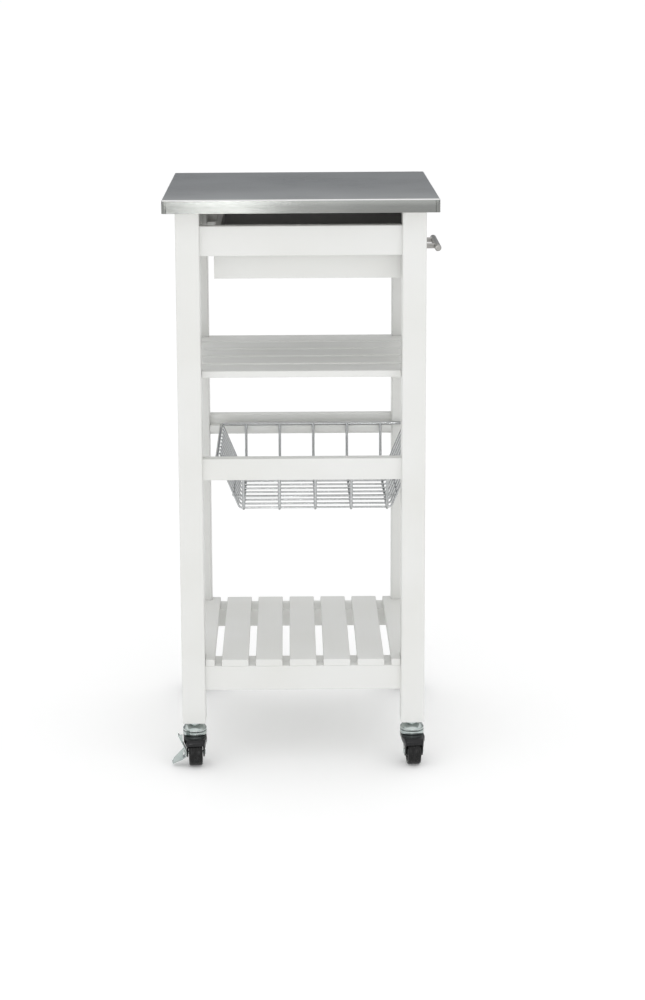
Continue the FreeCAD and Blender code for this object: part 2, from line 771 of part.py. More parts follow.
save("basket_rim", basket_rim())
save("basket_floor_grille", basket_floor_grille())
save("basket_near_grille", basket_side_grille(-1))
save("basket_far_grille", basket_side_grille(1))
save("basket_left_grille", basket_end_grille(-1))
save("basket_right_grille", basket_end_grille(1))

inserts = []
for name, (side_x, side_y, yaw, braked) in CASTERS.items():
    inserts.append(placed(caster_insert(), side_x, side_y, yaw))
    save(name + "_stem", placed(caster_stem(), side_x, side_y, yaw))
    save(name + "_fork", placed(caster_fork(), side_x, side_y, yaw))
    save(name + "_axle", placed(caster_axle(braked), side_x, side_y, yaw))
    save(name + "_wheel", placed(caster_wheel(), side_x, side_y, yaw))
    if braked:
        save(name + "_brake_lever", placed(caster_lever(), side_x, side_y, yaw))
    turn = math.radians(yaw)
    hub = V(0, -TRAIL, WHEEL_R)
    hub = FreeCAD.Rotation(Z_AXIS, yaw).multVec(hub) + V(side_x * RAIL_X - MIDDLE_X, side_y * RAIL_Y, 0)
    print(name, "axle direction", round(math.cos(turn), 6), round(math.sin(turn), 6), "hub", hub)
save("caster_inserts", Part.makeCompound(inserts))
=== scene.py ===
# %% [markdown]
# # A rolling utility cart
# The cart is a white lacquered wooden frame on four swivel casters. It carries a steel-clad worktop, a
# drawer that opens to the right, a slatted shelf, a pull-out wire basket and a second slatted shelf near
# the floor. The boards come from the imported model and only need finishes. The steel sheet, the wires,
# the handle and the casters have bends and rounded edges that a plain solid lacks, so they are modelled
# here, one piece at a time, in the places that the model gives.

# %% Load the frame
import json
import math

import bmesh
import bpy
from mathutils import Matrix, Vector


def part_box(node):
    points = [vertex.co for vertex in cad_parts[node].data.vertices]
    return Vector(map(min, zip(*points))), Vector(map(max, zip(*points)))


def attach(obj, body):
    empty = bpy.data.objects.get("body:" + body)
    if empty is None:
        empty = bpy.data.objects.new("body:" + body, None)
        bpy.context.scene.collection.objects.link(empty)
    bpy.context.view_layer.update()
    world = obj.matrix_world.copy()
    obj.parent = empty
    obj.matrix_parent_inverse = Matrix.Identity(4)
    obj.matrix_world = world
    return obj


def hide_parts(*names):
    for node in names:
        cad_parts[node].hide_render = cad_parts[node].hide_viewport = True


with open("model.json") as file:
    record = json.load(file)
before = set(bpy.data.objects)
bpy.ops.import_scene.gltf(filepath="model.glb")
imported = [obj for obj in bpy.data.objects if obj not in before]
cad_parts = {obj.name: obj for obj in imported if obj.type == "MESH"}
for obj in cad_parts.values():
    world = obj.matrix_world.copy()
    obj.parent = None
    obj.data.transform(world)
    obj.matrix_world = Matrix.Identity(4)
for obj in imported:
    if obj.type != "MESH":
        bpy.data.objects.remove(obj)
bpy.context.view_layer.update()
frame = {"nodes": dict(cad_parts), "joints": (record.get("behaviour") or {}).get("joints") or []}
nodes = frame["nodes"]
joints = {joint["name"]: joint for joint in frame["joints"]}
MM = 0.001

# %% [markdown]
# ## Camera
# A picture of furniture looks calm when its uprights stay nearly parallel. A view camera does this by
# sliding its lens instead of tipping over, and Blender's camera has the same slide, called shift. Here
# the eye is a little above the worktop, about three metres in front of the cart, with a long lens.

# %% Camera
EYE = Vector((-0.0230, -3.1256, 1.2112))
LENS_MM = 74.4
LENS_SHIFT = (0.0302, -0.18)
TURN, TILT, ROLL = (math.radians(angle) for angle in (-0.08, 79.85, -0.34))
lens = bpy.data.cameras.new("camera")
lens.lens = LENS_MM
lens.shift_x, lens.shift_y = LENS_SHIFT
camera = bpy.data.objects.new("camera", lens)
bpy.context.scene.collection.objects.link(camera)
pointing = Matrix.Rotation(TURN, 4, "Z") @ Matrix.Rotation(TILT, 4, "X") @ Matrix.Rotation(ROLL, 4, "Z")
camera.matrix_world = Matrix.Translation(EYE) @ pointing
bpy.context.scene.camera = camera
print("camera at", tuple(EYE), "with a lens of", LENS_MM, "mm")

# %% [markdown]
# ## Sockets that can be added and multiplied
# A procedural material is a formula drawn as nodes. Written in Python it reads best as a formula too, so
# this small class wraps a node's output and gives it plus, minus, times, less than and an absolute
# value. Each use adds one Math node. Python asks the right-hand value when the left one is a plain
# number, which is why plus, minus and times also have a reflected form.

# %% A socket class
class Signal:
    """One output of a shader node, usable in sums."""

    def __init__(self, tree, output):
        self.tree = tree
        self.output = output

    def math_node(self, operation, *values):
        node = self.tree.nodes.new("ShaderNodeMath")
        node.operation = operation
        for target, value in zip(node.inputs, values):
            join(self.tree, target, value)
        return Signal(self.tree, node.outputs[0])

    def __add__(self, other):
        return self.math_node("ADD", self, other)

    def __sub__(self, other):
        return self.math_node("SUBTRACT", self, other)

    def __rsub__(self, other):
        return self.math_node("SUBTRACT", other, self)

    def __mul__(self, other):
        return self.math_node("MULTIPLY", self, other)

    def __abs__(self):
        return self.math_node("ABSOLUTE", self)

    def __lt__(self, other):
        return self.math_node("LESS_THAN", self, other)

    __radd__ = __add__
    __rmul__ = __mul__


def join(tree, target, value):
    """Links a signal to an input, or sets the input to a plain value."""
    if isinstance(value, Signal):
        tree.links.new(value.output, target)
    else:
        target.default_value = value


print("signals can be added, multiplied and compared")

# %% [markdown]
# ## One class for a finish
# Every finish has one main shader. What is the same all over the surface is set on the shader's own
# inputs. What varies, such as colour, roughness and relief, comes from nodes. All patterns read Object
# coordinates, which are metres here, so the grain and the brushing have their real size.

# %% A finish class
class Finish:
    """A material, with one method that makes its nodes."""

    def __init__(self, name, constants):
        self.material = bpy.data.materials.new(name)
        self.material.use_nodes = True
        self.tree = self.material.node_tree
        self.shader = self.tree.nodes["Principled BSDF"]
        for socket, value in constants.items():
            self.shader.inputs[socket].default_value = value

    def node(self, kind, settings=None, values=None, out=0):
        """A node of one kind: its settings first, then the values or links of its sockets."""
        made = self.tree.nodes.new("ShaderNode" + kind)
        for key, value in (settings or {}).items():
            setattr(made, key, value)
        for key, value in (values or {}).items():
            join(self.tree, made.inputs[key], value)
        return Signal(self.tree, made.outputs[out])

    def place(self, stretch=(1, 1, 1)):
        """Object coordinates, squeezed along the axis in which a pattern should run long."""
        here = self.node("TexCoord", out="Object")
        return self.node("Mapping", values={"Vector": here, "Scale": stretch})

    def noise(self, scale, detail=3.0, stretch=(1, 1, 1)):
        values = {"Vector": self.place(stretch), "Scale": scale, "Detail": detail}
        return self.node("TexNoise", values=values)

    def axis(self, name):
        """One coordinate of the surface point."""
        return self.node("SeparateXYZ", values={"Vector": self.place()}, out=name)

    def blend(self, share, first, second):
        """A mix of two colours."""
        values = {0: share, 6: first, 7: second}
        return self.node("Mix", {"data_type": "RGBA"}, values, out=2)

    def contrast(self, signal, low, high):
        """The signal spread so that low becomes 0 and high becomes 1."""
        values = {"Value": signal, "From Min": low, "From Max": high}
        return self.node("MapRange", {"clamp": True}, values)

    def relief(self, height, strength, depth):
        values = {"Height": height, "Strength": strength, "Distance": depth}
        self.feed("Normal", self.node("Bump", values=values))

    def feed(self, socket, signal):
        join(self.tree, self.shader.inputs[socket], signal)


def put_on(piece, finish):
    """Gives a piece its finish, in the slots it has or in a new one."""
    if piece.material_slots:
        for slot in piece.material_slots:
            slot.material = finish.material
    else:
        piece.data.materials.append(finish.material)


print("finishes have nodes, noise, blends and relief")

# %% [markdown]
# ## White lacquer
# The frame is solid wood under sprayed satin lacquer. Up close the paint is not flat: the pores of the
# wood show as faint long lines, the spray leaves a fine orange peel, and the white drifts a little from
# board to board. The grain runs along each board, so the same recipe is made once for each direction.

# %% White lacquer
WHITE = (0.77, 0.773, 0.755, 1)
WARM_WHITE = (0.74, 0.742, 0.716, 1)
GRAIN_SQUEEZE = 0.05
GRAIN_SCALE, PEEL_SCALE, DRIFT_SCALE = 330.0, 900.0, 7.0
LACQUER_DEPTH = 0.12 * MM


def lacquer(name, along):
    """Sprayed white with the wood's grain along one axis."""
    finish = Finish(name, {"Coat Weight": 0.15, "Coat Roughness": 0.25, "IOR": 1.48})
    stretch = [GRAIN_SQUEEZE if i == along else 1.0 for i in range(3)]
    grain = finish.contrast(finish.noise(GRAIN_SCALE, 5.0, stretch), 0.35, 0.7)
    peel = finish.noise(PEEL_SCALE, 2.0)
    drift = finish.noise(DRIFT_SCALE, 2.0)
    finish.feed("Base Color", finish.blend(finish.contrast(drift, 0.35, 0.65), WARM_WHITE, WHITE))
    finish.feed("Roughness", 0.34 + 0.1 * grain + 0.06 * peel)
    finish.relief(grain * 0.7 + peel * 0.3, 0.35, LACQUER_DEPTH)
    return finish


LACQUER = {"x": lacquer("lacquer_x", 0), "y": lacquer("lacquer_y", 1), "z": lacquer("lacquer_z", 2)}
print("lacquer with grain along", ", ".join(LACQUER))

# %% [markdown]
# ## Drawer sides
# The drawer's sides are white outside. Their faces towards the drawer's middle are painted grey: painted
# shade for the deep shade under the worktop. Both are on one board, so the material decides by place:
# what lies nearer to the drawer's middle than the board's inner face gets the painted shade. The grey is
# dull, with a fine speckle and a fine tooth.

# %% Drawer sides
# The grey and its speckle are painted shade for the drawer's inside.
SHADE_GREY = (0.46, 0.46, 0.455, 1)
SHADE_GREY_SPECK = (0.54, 0.54, 0.53, 1)
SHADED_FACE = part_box("far_drawer_side")[0].y + 0.4 * MM
SHADE_SPECK_SCALE = 1400.0
SHADE_SPECK_DEPTH = 0.1 * MM


def board_with_painted_shade(name):
    """White lacquer outside, and grey painted shade on the faces towards the drawer's middle."""
    finish = Finish(name, {"IOR": 1.45})
    grain = finish.noise(GRAIN_SCALE, 5.0, (GRAIN_SQUEEZE, 1, 1))
    inner = abs(finish.axis("Y")) < SHADED_FACE
    speck = finish.noise(SHADE_SPECK_SCALE, 2.0)
    white = finish.blend(finish.noise(DRIFT_SCALE), WARM_WHITE, WHITE)
    # Painted shade: the faces towards the drawer's middle are blended to grey.
    shade_colour = finish.blend(speck, SHADE_GREY, SHADE_GREY_SPECK)
    finish.feed("Base Color", finish.blend(inner, white, shade_colour))
    finish.feed("Roughness", 0.38 + 0.2 * inner + 0.05 * grain)
    finish.relief(grain * 0.4 + speck * 0.6, 0.3, SHADE_SPECK_DEPTH)
    return finish


SHADED_DRAWER_SIDES = board_with_painted_shade("board_with_painted_shade")
# The drawer's floor is grey painted shade all over, like the inside of the sides.
SHADED_DRAWER_FLOOR = Finish("drawer_floor_painted_shade", {"IOR": 1.45})
shade_speck = SHADED_DRAWER_FLOOR.noise(SHADE_SPECK_SCALE, 2.0)
SHADED_DRAWER_FLOOR.feed("Base Color", SHADED_DRAWER_FLOOR.blend(shade_speck, SHADE_GREY, SHADE_GREY_SPECK))
SHADED_DRAWER_FLOOR.feed("Roughness", 0.5 + 0.15 * shade_speck)
SHADED_DRAWER_FLOOR.relief(shade_speck, 0.3, SHADE_SPECK_DEPTH)
# The grey that is printed here as lining is painted shade.
print("the lining starts", round(SHADED_FACE / MM, 1), "mm from the drawer's middle")

# %% [markdown]
# ## Brushed metals
# The worktop is brushed sheet: thousands of fine scratches along its length, which spread a highlight
# across them. A noise that is squeezed hard along X gives the scratches their relief and their slight
# change of tone. The folded lip has been rolled smoother, so it mirrors the studio in upright bands
# that sway a little. The lip's colour is painted darker and warmer than the top's: painted shade for the
# darker reflection it shows. The fold above it is painted near white: a painted highlight. The handle is
# satin nickel, brushed along its length.

# %% Brushed metals
SHEET_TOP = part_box("worktop_skin")[1].z
LIP_STARTS = SHEET_TOP - 1.9 * MM
FOLD_STARTS = SHEET_TOP - 0.25 * MM
TOP_DARK, TOP_LIGHT = (0.295, 0.305, 0.31, 1), (0.41, 0.425, 0.43, 1)
NICKEL_DARK, NICKEL_LIGHT = (0.26, 0.255, 0.245, 1), (0.44, 0.43, 0.41, 1)
# The fold's near white is a painted highlight.
FOLD_PAINTED_HIGHLIGHT, FOLD_HIGHLIGHT_SHARE = (0.86, 0.86, 0.85, 1), 0.8
# The lip's dark warm grey is painted shade, for the darker reflection it shows.
LIP_PAINTED_SHADE, LIP_SHADE_SHARE = (0.170, 0.173, 0.157, 1), 0.7
LIP_SMOOTHER, LIP_SWAY, SWAY_SCALE = 0.13, 22.0, 9.0
SCRATCH_SCALE, WIDER, CLOUD_SCALE = 2600.0, 9, 6.0
SCRATCH_DEPTH = 0.04 * MM


def brushed(name, dark, light, roughness, stretch, folded=False):
    """Sheet or bar with fine scratches along one direction; folded sheet has a smoother lip, painted
    shade on the lip and a painted highlight on the fold.
    """
    finish = Finish(name, {"Metallic": 1.0})
    scratches = finish.noise(SCRATCH_SCALE, 4.0, stretch)
    wide = finish.contrast(finish.noise(SCRATCH_SCALE / WIDER, 3.0, stretch), 0.3, 0.7)
    clouds = finish.contrast(finish.noise(CLOUD_SCALE, 2.0), 0.3, 0.7)
    tone = scratches * 0.45 + wide * 0.25 + clouds * 0.3
    colour = finish.blend(tone, dark, light)
    spread = roughness + 0.1 * scratches + 0.04 * clouds
    relief = scratches * 0.7 + wide * 0.3
    if folded:
        height = finish.axis("Z")
        lip = height < LIP_STARTS
        fold_highlight = (height < FOLD_STARTS) - lip
        # Painted highlight: the fold's thin band is blended towards near white.
        colour = finish.blend(fold_highlight * FOLD_HIGHLIGHT_SHARE, colour, FOLD_PAINTED_HIGHLIGHT)
        # Painted shade: the lip is blended towards a dark warm grey.
        colour = finish.blend(lip * LIP_SHADE_SHARE, colour, LIP_PAINTED_SHADE)
        spread = spread - LIP_SMOOTHER * lip
        relief = relief + LIP_SWAY * lip * finish.noise(SWAY_SCALE, 1.0)
    finish.feed("Base Color", colour)
    finish.feed("Roughness", spread)
    finish.relief(relief, 0.3, SCRATCH_DEPTH)
    return finish


BRUSHED_TOP = brushed("brushed_top", TOP_DARK, TOP_LIGHT, 0.22, (0.012, 1, 1), folded=True)
NICKEL = brushed("satin_nickel", NICKEL_DARK, NICKEL_LIGHT, 0.24, (1, 0.02, 1))
print("the lip's finish starts", round((SHEET_TOP - LIP_STARTS) / MM, 2), "mm below the top")

# %% [markdown]
# ## Plated metals
# The wires are bright chrome with a thin haze. The caster cups, rivets and levers are zinc, which is a
# little green and clouded. Neither plating has a direction, so one even noise is enough for each.

# %% Plated metals
CHROME_BRIGHT, CHROME_HAZY = (0.54, 0.55, 0.555, 1), (0.44, 0.45, 0.455, 1)
ZINC_DARK, ZINC_LIGHT = (0.44, 0.50, 0.49, 1), (0.55, 0.59, 0.57, 1)
CHROME = Finish("bright_chrome", {"Metallic": 1.0})
chrome_haze = CHROME.contrast(CHROME.noise(260.0, 3.0), 0.35, 0.75)
CHROME.feed("Base Color", CHROME.blend(chrome_haze, CHROME_BRIGHT, CHROME_HAZY))
CHROME.feed("Roughness", 0.12 + 0.12 * chrome_haze)
CHROME.relief(chrome_haze, 0.15, 0.05 * MM)

ZINC = Finish("bright_zinc", {"Metallic": 1.0})
cloud = ZINC.contrast(ZINC.noise(160.0, 4.0), 0.3, 0.75)
ZINC.feed("Base Color", ZINC.blend(cloud, ZINC_DARK, ZINC_LIGHT))
ZINC.feed("Roughness", 0.17 + 0.1 * cloud)
ZINC.relief(cloud, 0.12, 0.04 * MM)
print("plated metals:", CHROME.material.name, "and", ZINC.material.name)

# %% [markdown]
# ## Black caster parts, board and beech
# The fork is gloss black enamel and the wheel is moulded black nylon, which is duller and has a faint
# grey scuff where it rolls. The worktop's core is fibreboard with a pale grey paper on its faces, and
# the dowels are plain beech.

# %% Black, board and beech
ENAMEL_DEEP, ENAMEL_WORN = (0.005, 0.005, 0.006, 1), (0.011, 0.011, 0.012, 1)
NYLON_DEEP, NYLON_SCUFFED = (0.006, 0.006, 0.006, 1), (0.017, 0.017, 0.0175, 1)
PAPER_DARK, PAPER_LIGHT = (0.60, 0.59, 0.57, 1), (0.72, 0.71, 0.69, 1)
BEECH_DARK, BEECH_LIGHT = (0.50, 0.33, 0.18, 1), (0.70, 0.52, 0.33, 1)
ENAMEL = Finish("black_enamel", {"Coat Weight": 0.1, "Coat Roughness": 0.08, "IOR": 1.36})
enamel_wave = ENAMEL.noise(240.0, 3.0)
ENAMEL.feed("Base Color", ENAMEL.blend(enamel_wave, ENAMEL_DEEP, ENAMEL_WORN))
ENAMEL.feed("Roughness", 0.16 + 0.14 * enamel_wave)
ENAMEL.relief(enamel_wave, 0.12, 0.2 * MM)

NYLON = Finish("black_nylon", {"IOR": 1.34})
scuff = NYLON.contrast(NYLON.noise(420.0, 5.0, (1, 0.3, 0.3)), 0.5, 0.75)
NYLON.feed("Base Color", NYLON.blend(scuff, NYLON_DEEP, NYLON_SCUFFED))
NYLON.feed("Roughness", 0.26 + 0.2 * scuff)
NYLON.relief(scuff, 0.2, 0.2 * MM)

FIBREBOARD = Finish("papered_fibreboard", {"IOR": 1.4})
fibres = FIBREBOARD.noise(700.0, 6.0, (1, 1, 3))
FIBREBOARD.feed("Base Color", FIBREBOARD.blend(fibres, PAPER_DARK, PAPER_LIGHT))
FIBREBOARD.feed("Roughness", 0.75 + 0.2 * fibres)
FIBREBOARD.relief(fibres, 0.5, 0.3 * MM)

BEECH = Finish("raw_beech", {"IOR": 1.4})
rays = BEECH.noise(900.0, 4.0, (0.1, 1, 1))
BEECH.feed("Base Color", BEECH.blend(rays, BEECH_DARK, BEECH_LIGHT))
BEECH.feed("Roughness", 0.55 + 0.2 * rays)
BEECH.relief(rays, 0.4, 0.2 * MM)
print("black enamel, black nylon, fibreboard and beech are ready")

# %% [markdown]
# ## Finishes for the boards that stay
# The boards' shapes are already right, with their edges eased, so each keeps its solid and only gets
# the lacquer whose grain runs along it. Screws, dowels and inserts are real pieces too, though they
# hardly show.

# %% Boards of the frame and the drawer
def boards(names, finish):
    """Gives one finish to several of the model's nodes."""
    for name in names:
        put_on(nodes[name], finish)
    print(finish.material.name, "on", ", ".join(names))


CORNERS = ("near_left", "near_right", "far_left", "far_right")
boards([corner + "_leg" for corner in CORNERS], LACQUER["z"])
long_rails = [
    side + place + "_rail" for side in ("near", "far") for place in ("_upper", "_basket", "_low")
]
boards(long_rails + ["mid_shelf_slats", "low_shelf_battens"], LACQUER["x"])
boards(["drawer_runners", "basket_runners"], LACQUER["x"])
end_rails = [side + place + "_rail" for side in ("left", "right") for place in ("_mid", "_low", "_top")]
boards(end_rails + ["low_shelf_slats", "drawer_front", "drawer_back"], LACQUER["y"])
# The drawer's sides get grey painted shade inside, and its floor is grey painted shade all over.
boards(["near_drawer_side", "far_drawer_side"], SHADED_DRAWER_SIDES)
boards(["drawer_floor"], SHADED_DRAWER_FLOOR)
boards(["worktop_core"], FIBREBOARD)
boards(["rail_dowels"], BEECH)
boards(["top_screws", "caster_inserts", "handle_screws"], ZINC)

# %% [markdown]
# ## Working in edit mode
# Operators act on whatever is selected, and the loaded model leaves all its pieces selected. So each
# new piece starts with nothing selected. Faces, edges or corners are then picked by a test on their
# place or their normal, and the operator runs on those. At the end the piece's place is put into its
# mesh, so that its object stays at the origin, and its smooth shading stops at sharp edges.

# %% Modelling helpers
def fresh():
    """Nothing selected and object mode, ready for a new primitive."""
    if bpy.context.object and bpy.context.object.mode != "OBJECT":
        bpy.ops.object.mode_set(mode="OBJECT")
    bpy.ops.object.select_all(action="DESELECT")


def named(name):
    """The primitive that was just added, named, with its size in its mesh."""
    piece = bpy.context.object
    piece.name = name
    piece.data.name = name
    bpy.ops.object.transform_apply(location=True, rotation=True, scale=True)
    return piece


def pick(piece, kind, test):
    """Enters edit mode and selects the vertices, edges or faces that pass a test."""
    bpy.ops.object.mode_set(mode="EDIT")
    bpy.ops.mesh.select_mode(type=kind)
    bpy.ops.mesh.select_all(action="DESELECT")
    mesh = bmesh.from_edit_mesh(piece.data)
    parts = {"VERT": mesh.verts, "EDGE": mesh.edges, "FACE": mesh.faces}[kind]
    chosen = [part for part in parts if test(part)]
    for part in chosen:
        part.select_set(True)
    mesh.select_flush_mode()
    bmesh.update_edit_mesh(piece.data)
    return len(chosen)


def middle(edge):
    """The middle of an edge."""
    return (edge.verts[0].co + edge.verts[1].co) / 2


def run(edge):
    """The direction of an edge, as a unit vector."""
    return (edge.verts[1].co - edge.verts[0].co).normalized()


def alone(piece):
    """Object mode with one piece selected and active."""
    fresh()
    piece.select_set(True)
    bpy.context.view_layer.objects.active = piece


def modified(piece, kind, **settings):
    """Adds a modifier and applies it."""
    alone(piece)
    modifier = piece.modifiers.new(kind, kind)
    for key, value in settings.items():
        setattr(modifier, key, value)
    bpy.ops.object.modifier_apply(modifier=modifier.name)


def done(piece, finish, smooth=35):
    """Smooth shading up to an angle, and the finish."""
    alone(piece)
    bpy.ops.object.shade_smooth_by_angle(angle=math.radians(smooth))
    put_on(piece, finish)
    return piece


def report(piece):
    size = [round(x / MM, 1) for x in piece.dimensions]
    print(piece.name, "faces", len(piece.data.polygons), "size mm", size)


print("helpers: fresh, named, pick, alone, modified, done, report")

# %% [markdown]
# ## The steel worktop sheet
# The sheet is one blank, folded down on four sides over the board. Folding steel leaves a small radius
# on every edge, and near each corner the side flap ends in a fine upright seam on the front lip. A box
# without its floor has the right form: its upper edges are bevelled for the folds, two cuts near each
# end give the seams, and Solidify gives the sheet its thickness.

# %% The steel worktop sheet
SHEET = 1.0 * MM
FOLD_R = 2.2 * MM
SEAM_IN = 6.0 * MM
SEAM = 0.45 * MM
top_low, top_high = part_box("worktop_skin")
top_middle = (top_low + top_high) / 2
fresh()
bpy.ops.mesh.primitive_cube_add(size=1, location=top_middle, scale=top_high - top_low)
sheet = named("steel_worktop")
pick(sheet, "FACE", lambda face: face.normal.z < -0.9)
bpy.ops.mesh.delete(type="FACE")
pick(sheet, "EDGE", lambda edge: middle(edge).z > top_low.z + SHEET)
bpy.ops.mesh.bevel(offset=FOLD_R, segments=4, affect="EDGES")
for seam_x in (top_low.x + SEAM_IN, top_high.x - SEAM_IN):
    pick(sheet, "FACE", lambda face: True)
    bpy.ops.mesh.bisect(plane_co=(seam_x, 0, 0), plane_no=(1, 0, 0))


def seam_line(edge):
    """The upright cuts on the two long lips."""
    at_seam = abs(abs(middle(edge).x - top_middle.x) - (top_high.x - top_middle.x - SEAM_IN)) < SEAM / 2
    return at_seam and abs(run(edge).z) > 0.99 and abs(middle(edge).y) > top_high.y - SEAM


print("seam lines", pick(sheet, "EDGE", seam_line))
bpy.ops.mesh.bevel(offset=SEAM, segments=2, affect="EDGES")
for side in (-1, 1):

    def seam_bottom(vert):
        """The middle line of each groove on one lip."""
        beside = abs(abs(vert.co.x - top_middle.x) - (top_high.x - top_middle.x - SEAM_IN))
        on_lip = vert.co.y * side > top_high.y - SEAM / 4
        return beside < SEAM / 4 and on_lip and vert.co.z < top_high.z - FOLD_R / 2

    pick(sheet, "VERT", seam_bottom)
    bpy.ops.transform.translate(value=(0, -side * SEAM, 0))
modified(sheet, "SOLIDIFY", thickness=SHEET, offset=-1.0, use_even_offset=True)
done(sheet, BRUSHED_TOP)
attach(sheet, "frame")
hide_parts("worktop_skin")
report(sheet)

# %% [markdown]
# ## The bar handle
# The handle is a round nickel bar held off the drawer's front by two posts. A turned bar has softly
# rounded ends, and each post spreads into a small foot where it meets the wood. Both start as
# cylinders. The bar's ends are bevelled, and a post's last ring of faces is widened for the foot.

# %% The bar handle
bar_low, bar_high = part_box("handle_bar")
post_low, post_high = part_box("handle_posts")
BAR_R = (bar_high.z - bar_low.z) / 2
BAR_PLACE = (bar_low + bar_high) / 2
POST_R = (post_high.z - post_low.z) / 2
POST_REACH = BAR_PLACE.x - post_low.x
POST_Y = post_high.y - POST_R
FOOT = 2.0 * MM
FOOT_CUTS = (1.0, 2.2)
FOOT_SPREAD = 1.35
FOOT_EDGE = 0.35 * MM
BAR_END_R = 1.4 * MM
fresh()
bpy.ops.mesh.primitive_cylinder_add(
    vertices=48,
    radius=BAR_R,
    depth=bar_high.y - bar_low.y,
    location=BAR_PLACE,
    rotation=(math.pi / 2, 0, 0),
)
bar = named("handle_grip")
pick(bar, "EDGE", lambda edge: abs(run(edge).y) < 0.5)
bpy.ops.mesh.bevel(offset=BAR_END_R, segments=4, affect="EDGES")
done(bar, NICKEL)
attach(bar, "drawer")
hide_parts("handle_bar")
report(bar)
for label, side in (("near", -1), ("far", 1)):
    fresh()
    bpy.ops.mesh.primitive_cylinder_add(
        vertices=40,
        radius=POST_R,
        depth=POST_REACH,
        location=(post_low.x + POST_REACH / 2, side * POST_Y, BAR_PLACE.z),
        rotation=(0, math.pi / 2, 0),
    )
    post = named("handle_post_" + label)
    for share in FOOT_CUTS:
        pick(post, "FACE", lambda face: True)
        bpy.ops.mesh.bisect(plane_co=(post_low.x + share * FOOT, 0, 0), plane_no=(1, 0, 0))
    pick(post, "VERT", lambda vert: vert.co.x < post_low.x + 1.1 * FOOT)
    bpy.ops.transform.resize(
        value=(1, FOOT_SPREAD, FOOT_SPREAD),
        center_override=(post_low.x, side * POST_Y, BAR_PLACE.z),
    )
    pick(post, "EDGE", lambda edge: abs(run(edge).x) < 0.5 and middle(edge).x < post_low.x + 1.1 * FOOT)
    bpy.ops.mesh.bevel(offset=FOOT_EDGE, segments=2, affect="EDGES")
    done(post, NICKEL)
    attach(post, "drawer")
    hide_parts("handle_posts")
    report(post)

# %% [markdown]
# ## Bent wires
# A wire basket is drawn wire, bent in a jig and spot welded. Each wire is one path with rounded bends.
# A flat plane has four corners in the right order, so it makes a good start: its corners are moved to
# the wire's corners, its face goes, and so does the edge that an open wire doesn't follow. A vertex bevel
# rounds each corner into a bend. The edges then become a curve, which is given the wire's thickness and
# turned back into a mesh.

# %% A wire from four corners
def wire(name, corners, radius, bend, closed, sides=3):
    """A bent wire through four corners; an open one has no run between the last and the first."""
    fresh()
    bpy.ops.mesh.primitive_plane_add(size=1)
    piece = named(name)
    order = [0, 1, 3, 2]
    for index, corner in zip(order, corners):
        piece.data.vertices[index].co = corner
    pick(piece, "FACE", lambda face: True)
    bpy.ops.mesh.delete(type="ONLY_FACE")
    if not closed:
        gap = (Vector(corners[0]) + Vector(corners[3])) / 2
        pick(piece, "EDGE", lambda edge: (middle(edge) - gap).length < 1e-5)
        bpy.ops.mesh.delete(type="EDGE")
    pick(piece, "VERT", lambda vert: len(vert.link_edges) == 2)
    bpy.ops.mesh.bevel(offset=bend, segments=5, affect="VERTICES")
    alone(piece)
    bpy.ops.object.convert(target="CURVE")
    piece = bpy.context.object
    piece.data.bevel_depth = radius
    piece.data.bevel_resolution = sides
    piece.data.use_fill_caps = not closed
    bpy.ops.object.convert(target="MESH")
    piece = bpy.context.object
    piece.name = name
    piece.data.name = name
    return piece


def gathered(name, pieces):
    """Several pieces as one."""
    fresh()
    for piece in pieces:
        piece.select_set(True)
    bpy.context.view_layer.objects.active = pieces[0]
    bpy.ops.object.join()
    whole = bpy.context.object
    whole.name = name
    whole.data.name = name
    return whole


print("wire and gathered are ready")

# %% [markdown]
# ## The wire basket
# Eleven thin wires run the long way and five thicker ones run across under them. Each is a U: up one
# wall, along the floor and up the other. They end on a thick rim, and a belt wire ties the walls
# together low down. The basket hangs by its rim on the two runners, so the rim's place comes from the
# model, and so do the floor and the slope of the walls.

# %% The wire basket
rim_low, rim_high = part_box("basket_rim")
floor_low, floor_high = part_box("basket_floor_grille")
RIM_R = (rim_high.z - rim_low.z) / 2
RIM_Z = (rim_high.z + rim_low.z) / 2
BASKET_X = (rim_low.x + rim_high.x) / 2
RIM_X = (rim_high.x - rim_low.x) / 2 - RIM_R
RIM_Y = rim_high.y - RIM_R
LONG_R = 1.5 * MM
CROSS_R = 2.2 * MM
WELD = 0.5 * MM
FLOOR_Z = floor_low.z + CROSS_R
LONG_Z = FLOOR_Z + CROSS_R + LONG_R - WELD
FLOOR_X = (floor_high.x - floor_low.x) / 2
FLOOR_Y = floor_high.y
LONG_COUNT, LONG_PITCH = 11, 22.4 * MM
CROSS_COUNT, CROSS_PITCH = 5, 54.0 * MM
BELT_Z = 403.0 * MM
RIM_BEND, CROSS_BEND, LONG_BEND, BELT_BEND = 12 * MM, 8 * MM, 4 * MM, 9 * MM


def corners_xy(half_x, half_y, z):
    """The four corners of a level rectangle round the basket's middle."""
    return [(BASKET_X + sx * half_x, sy * half_y, z) for sx, sy in ((-1, -1), (1, -1), (1, 1), (-1, 1))]


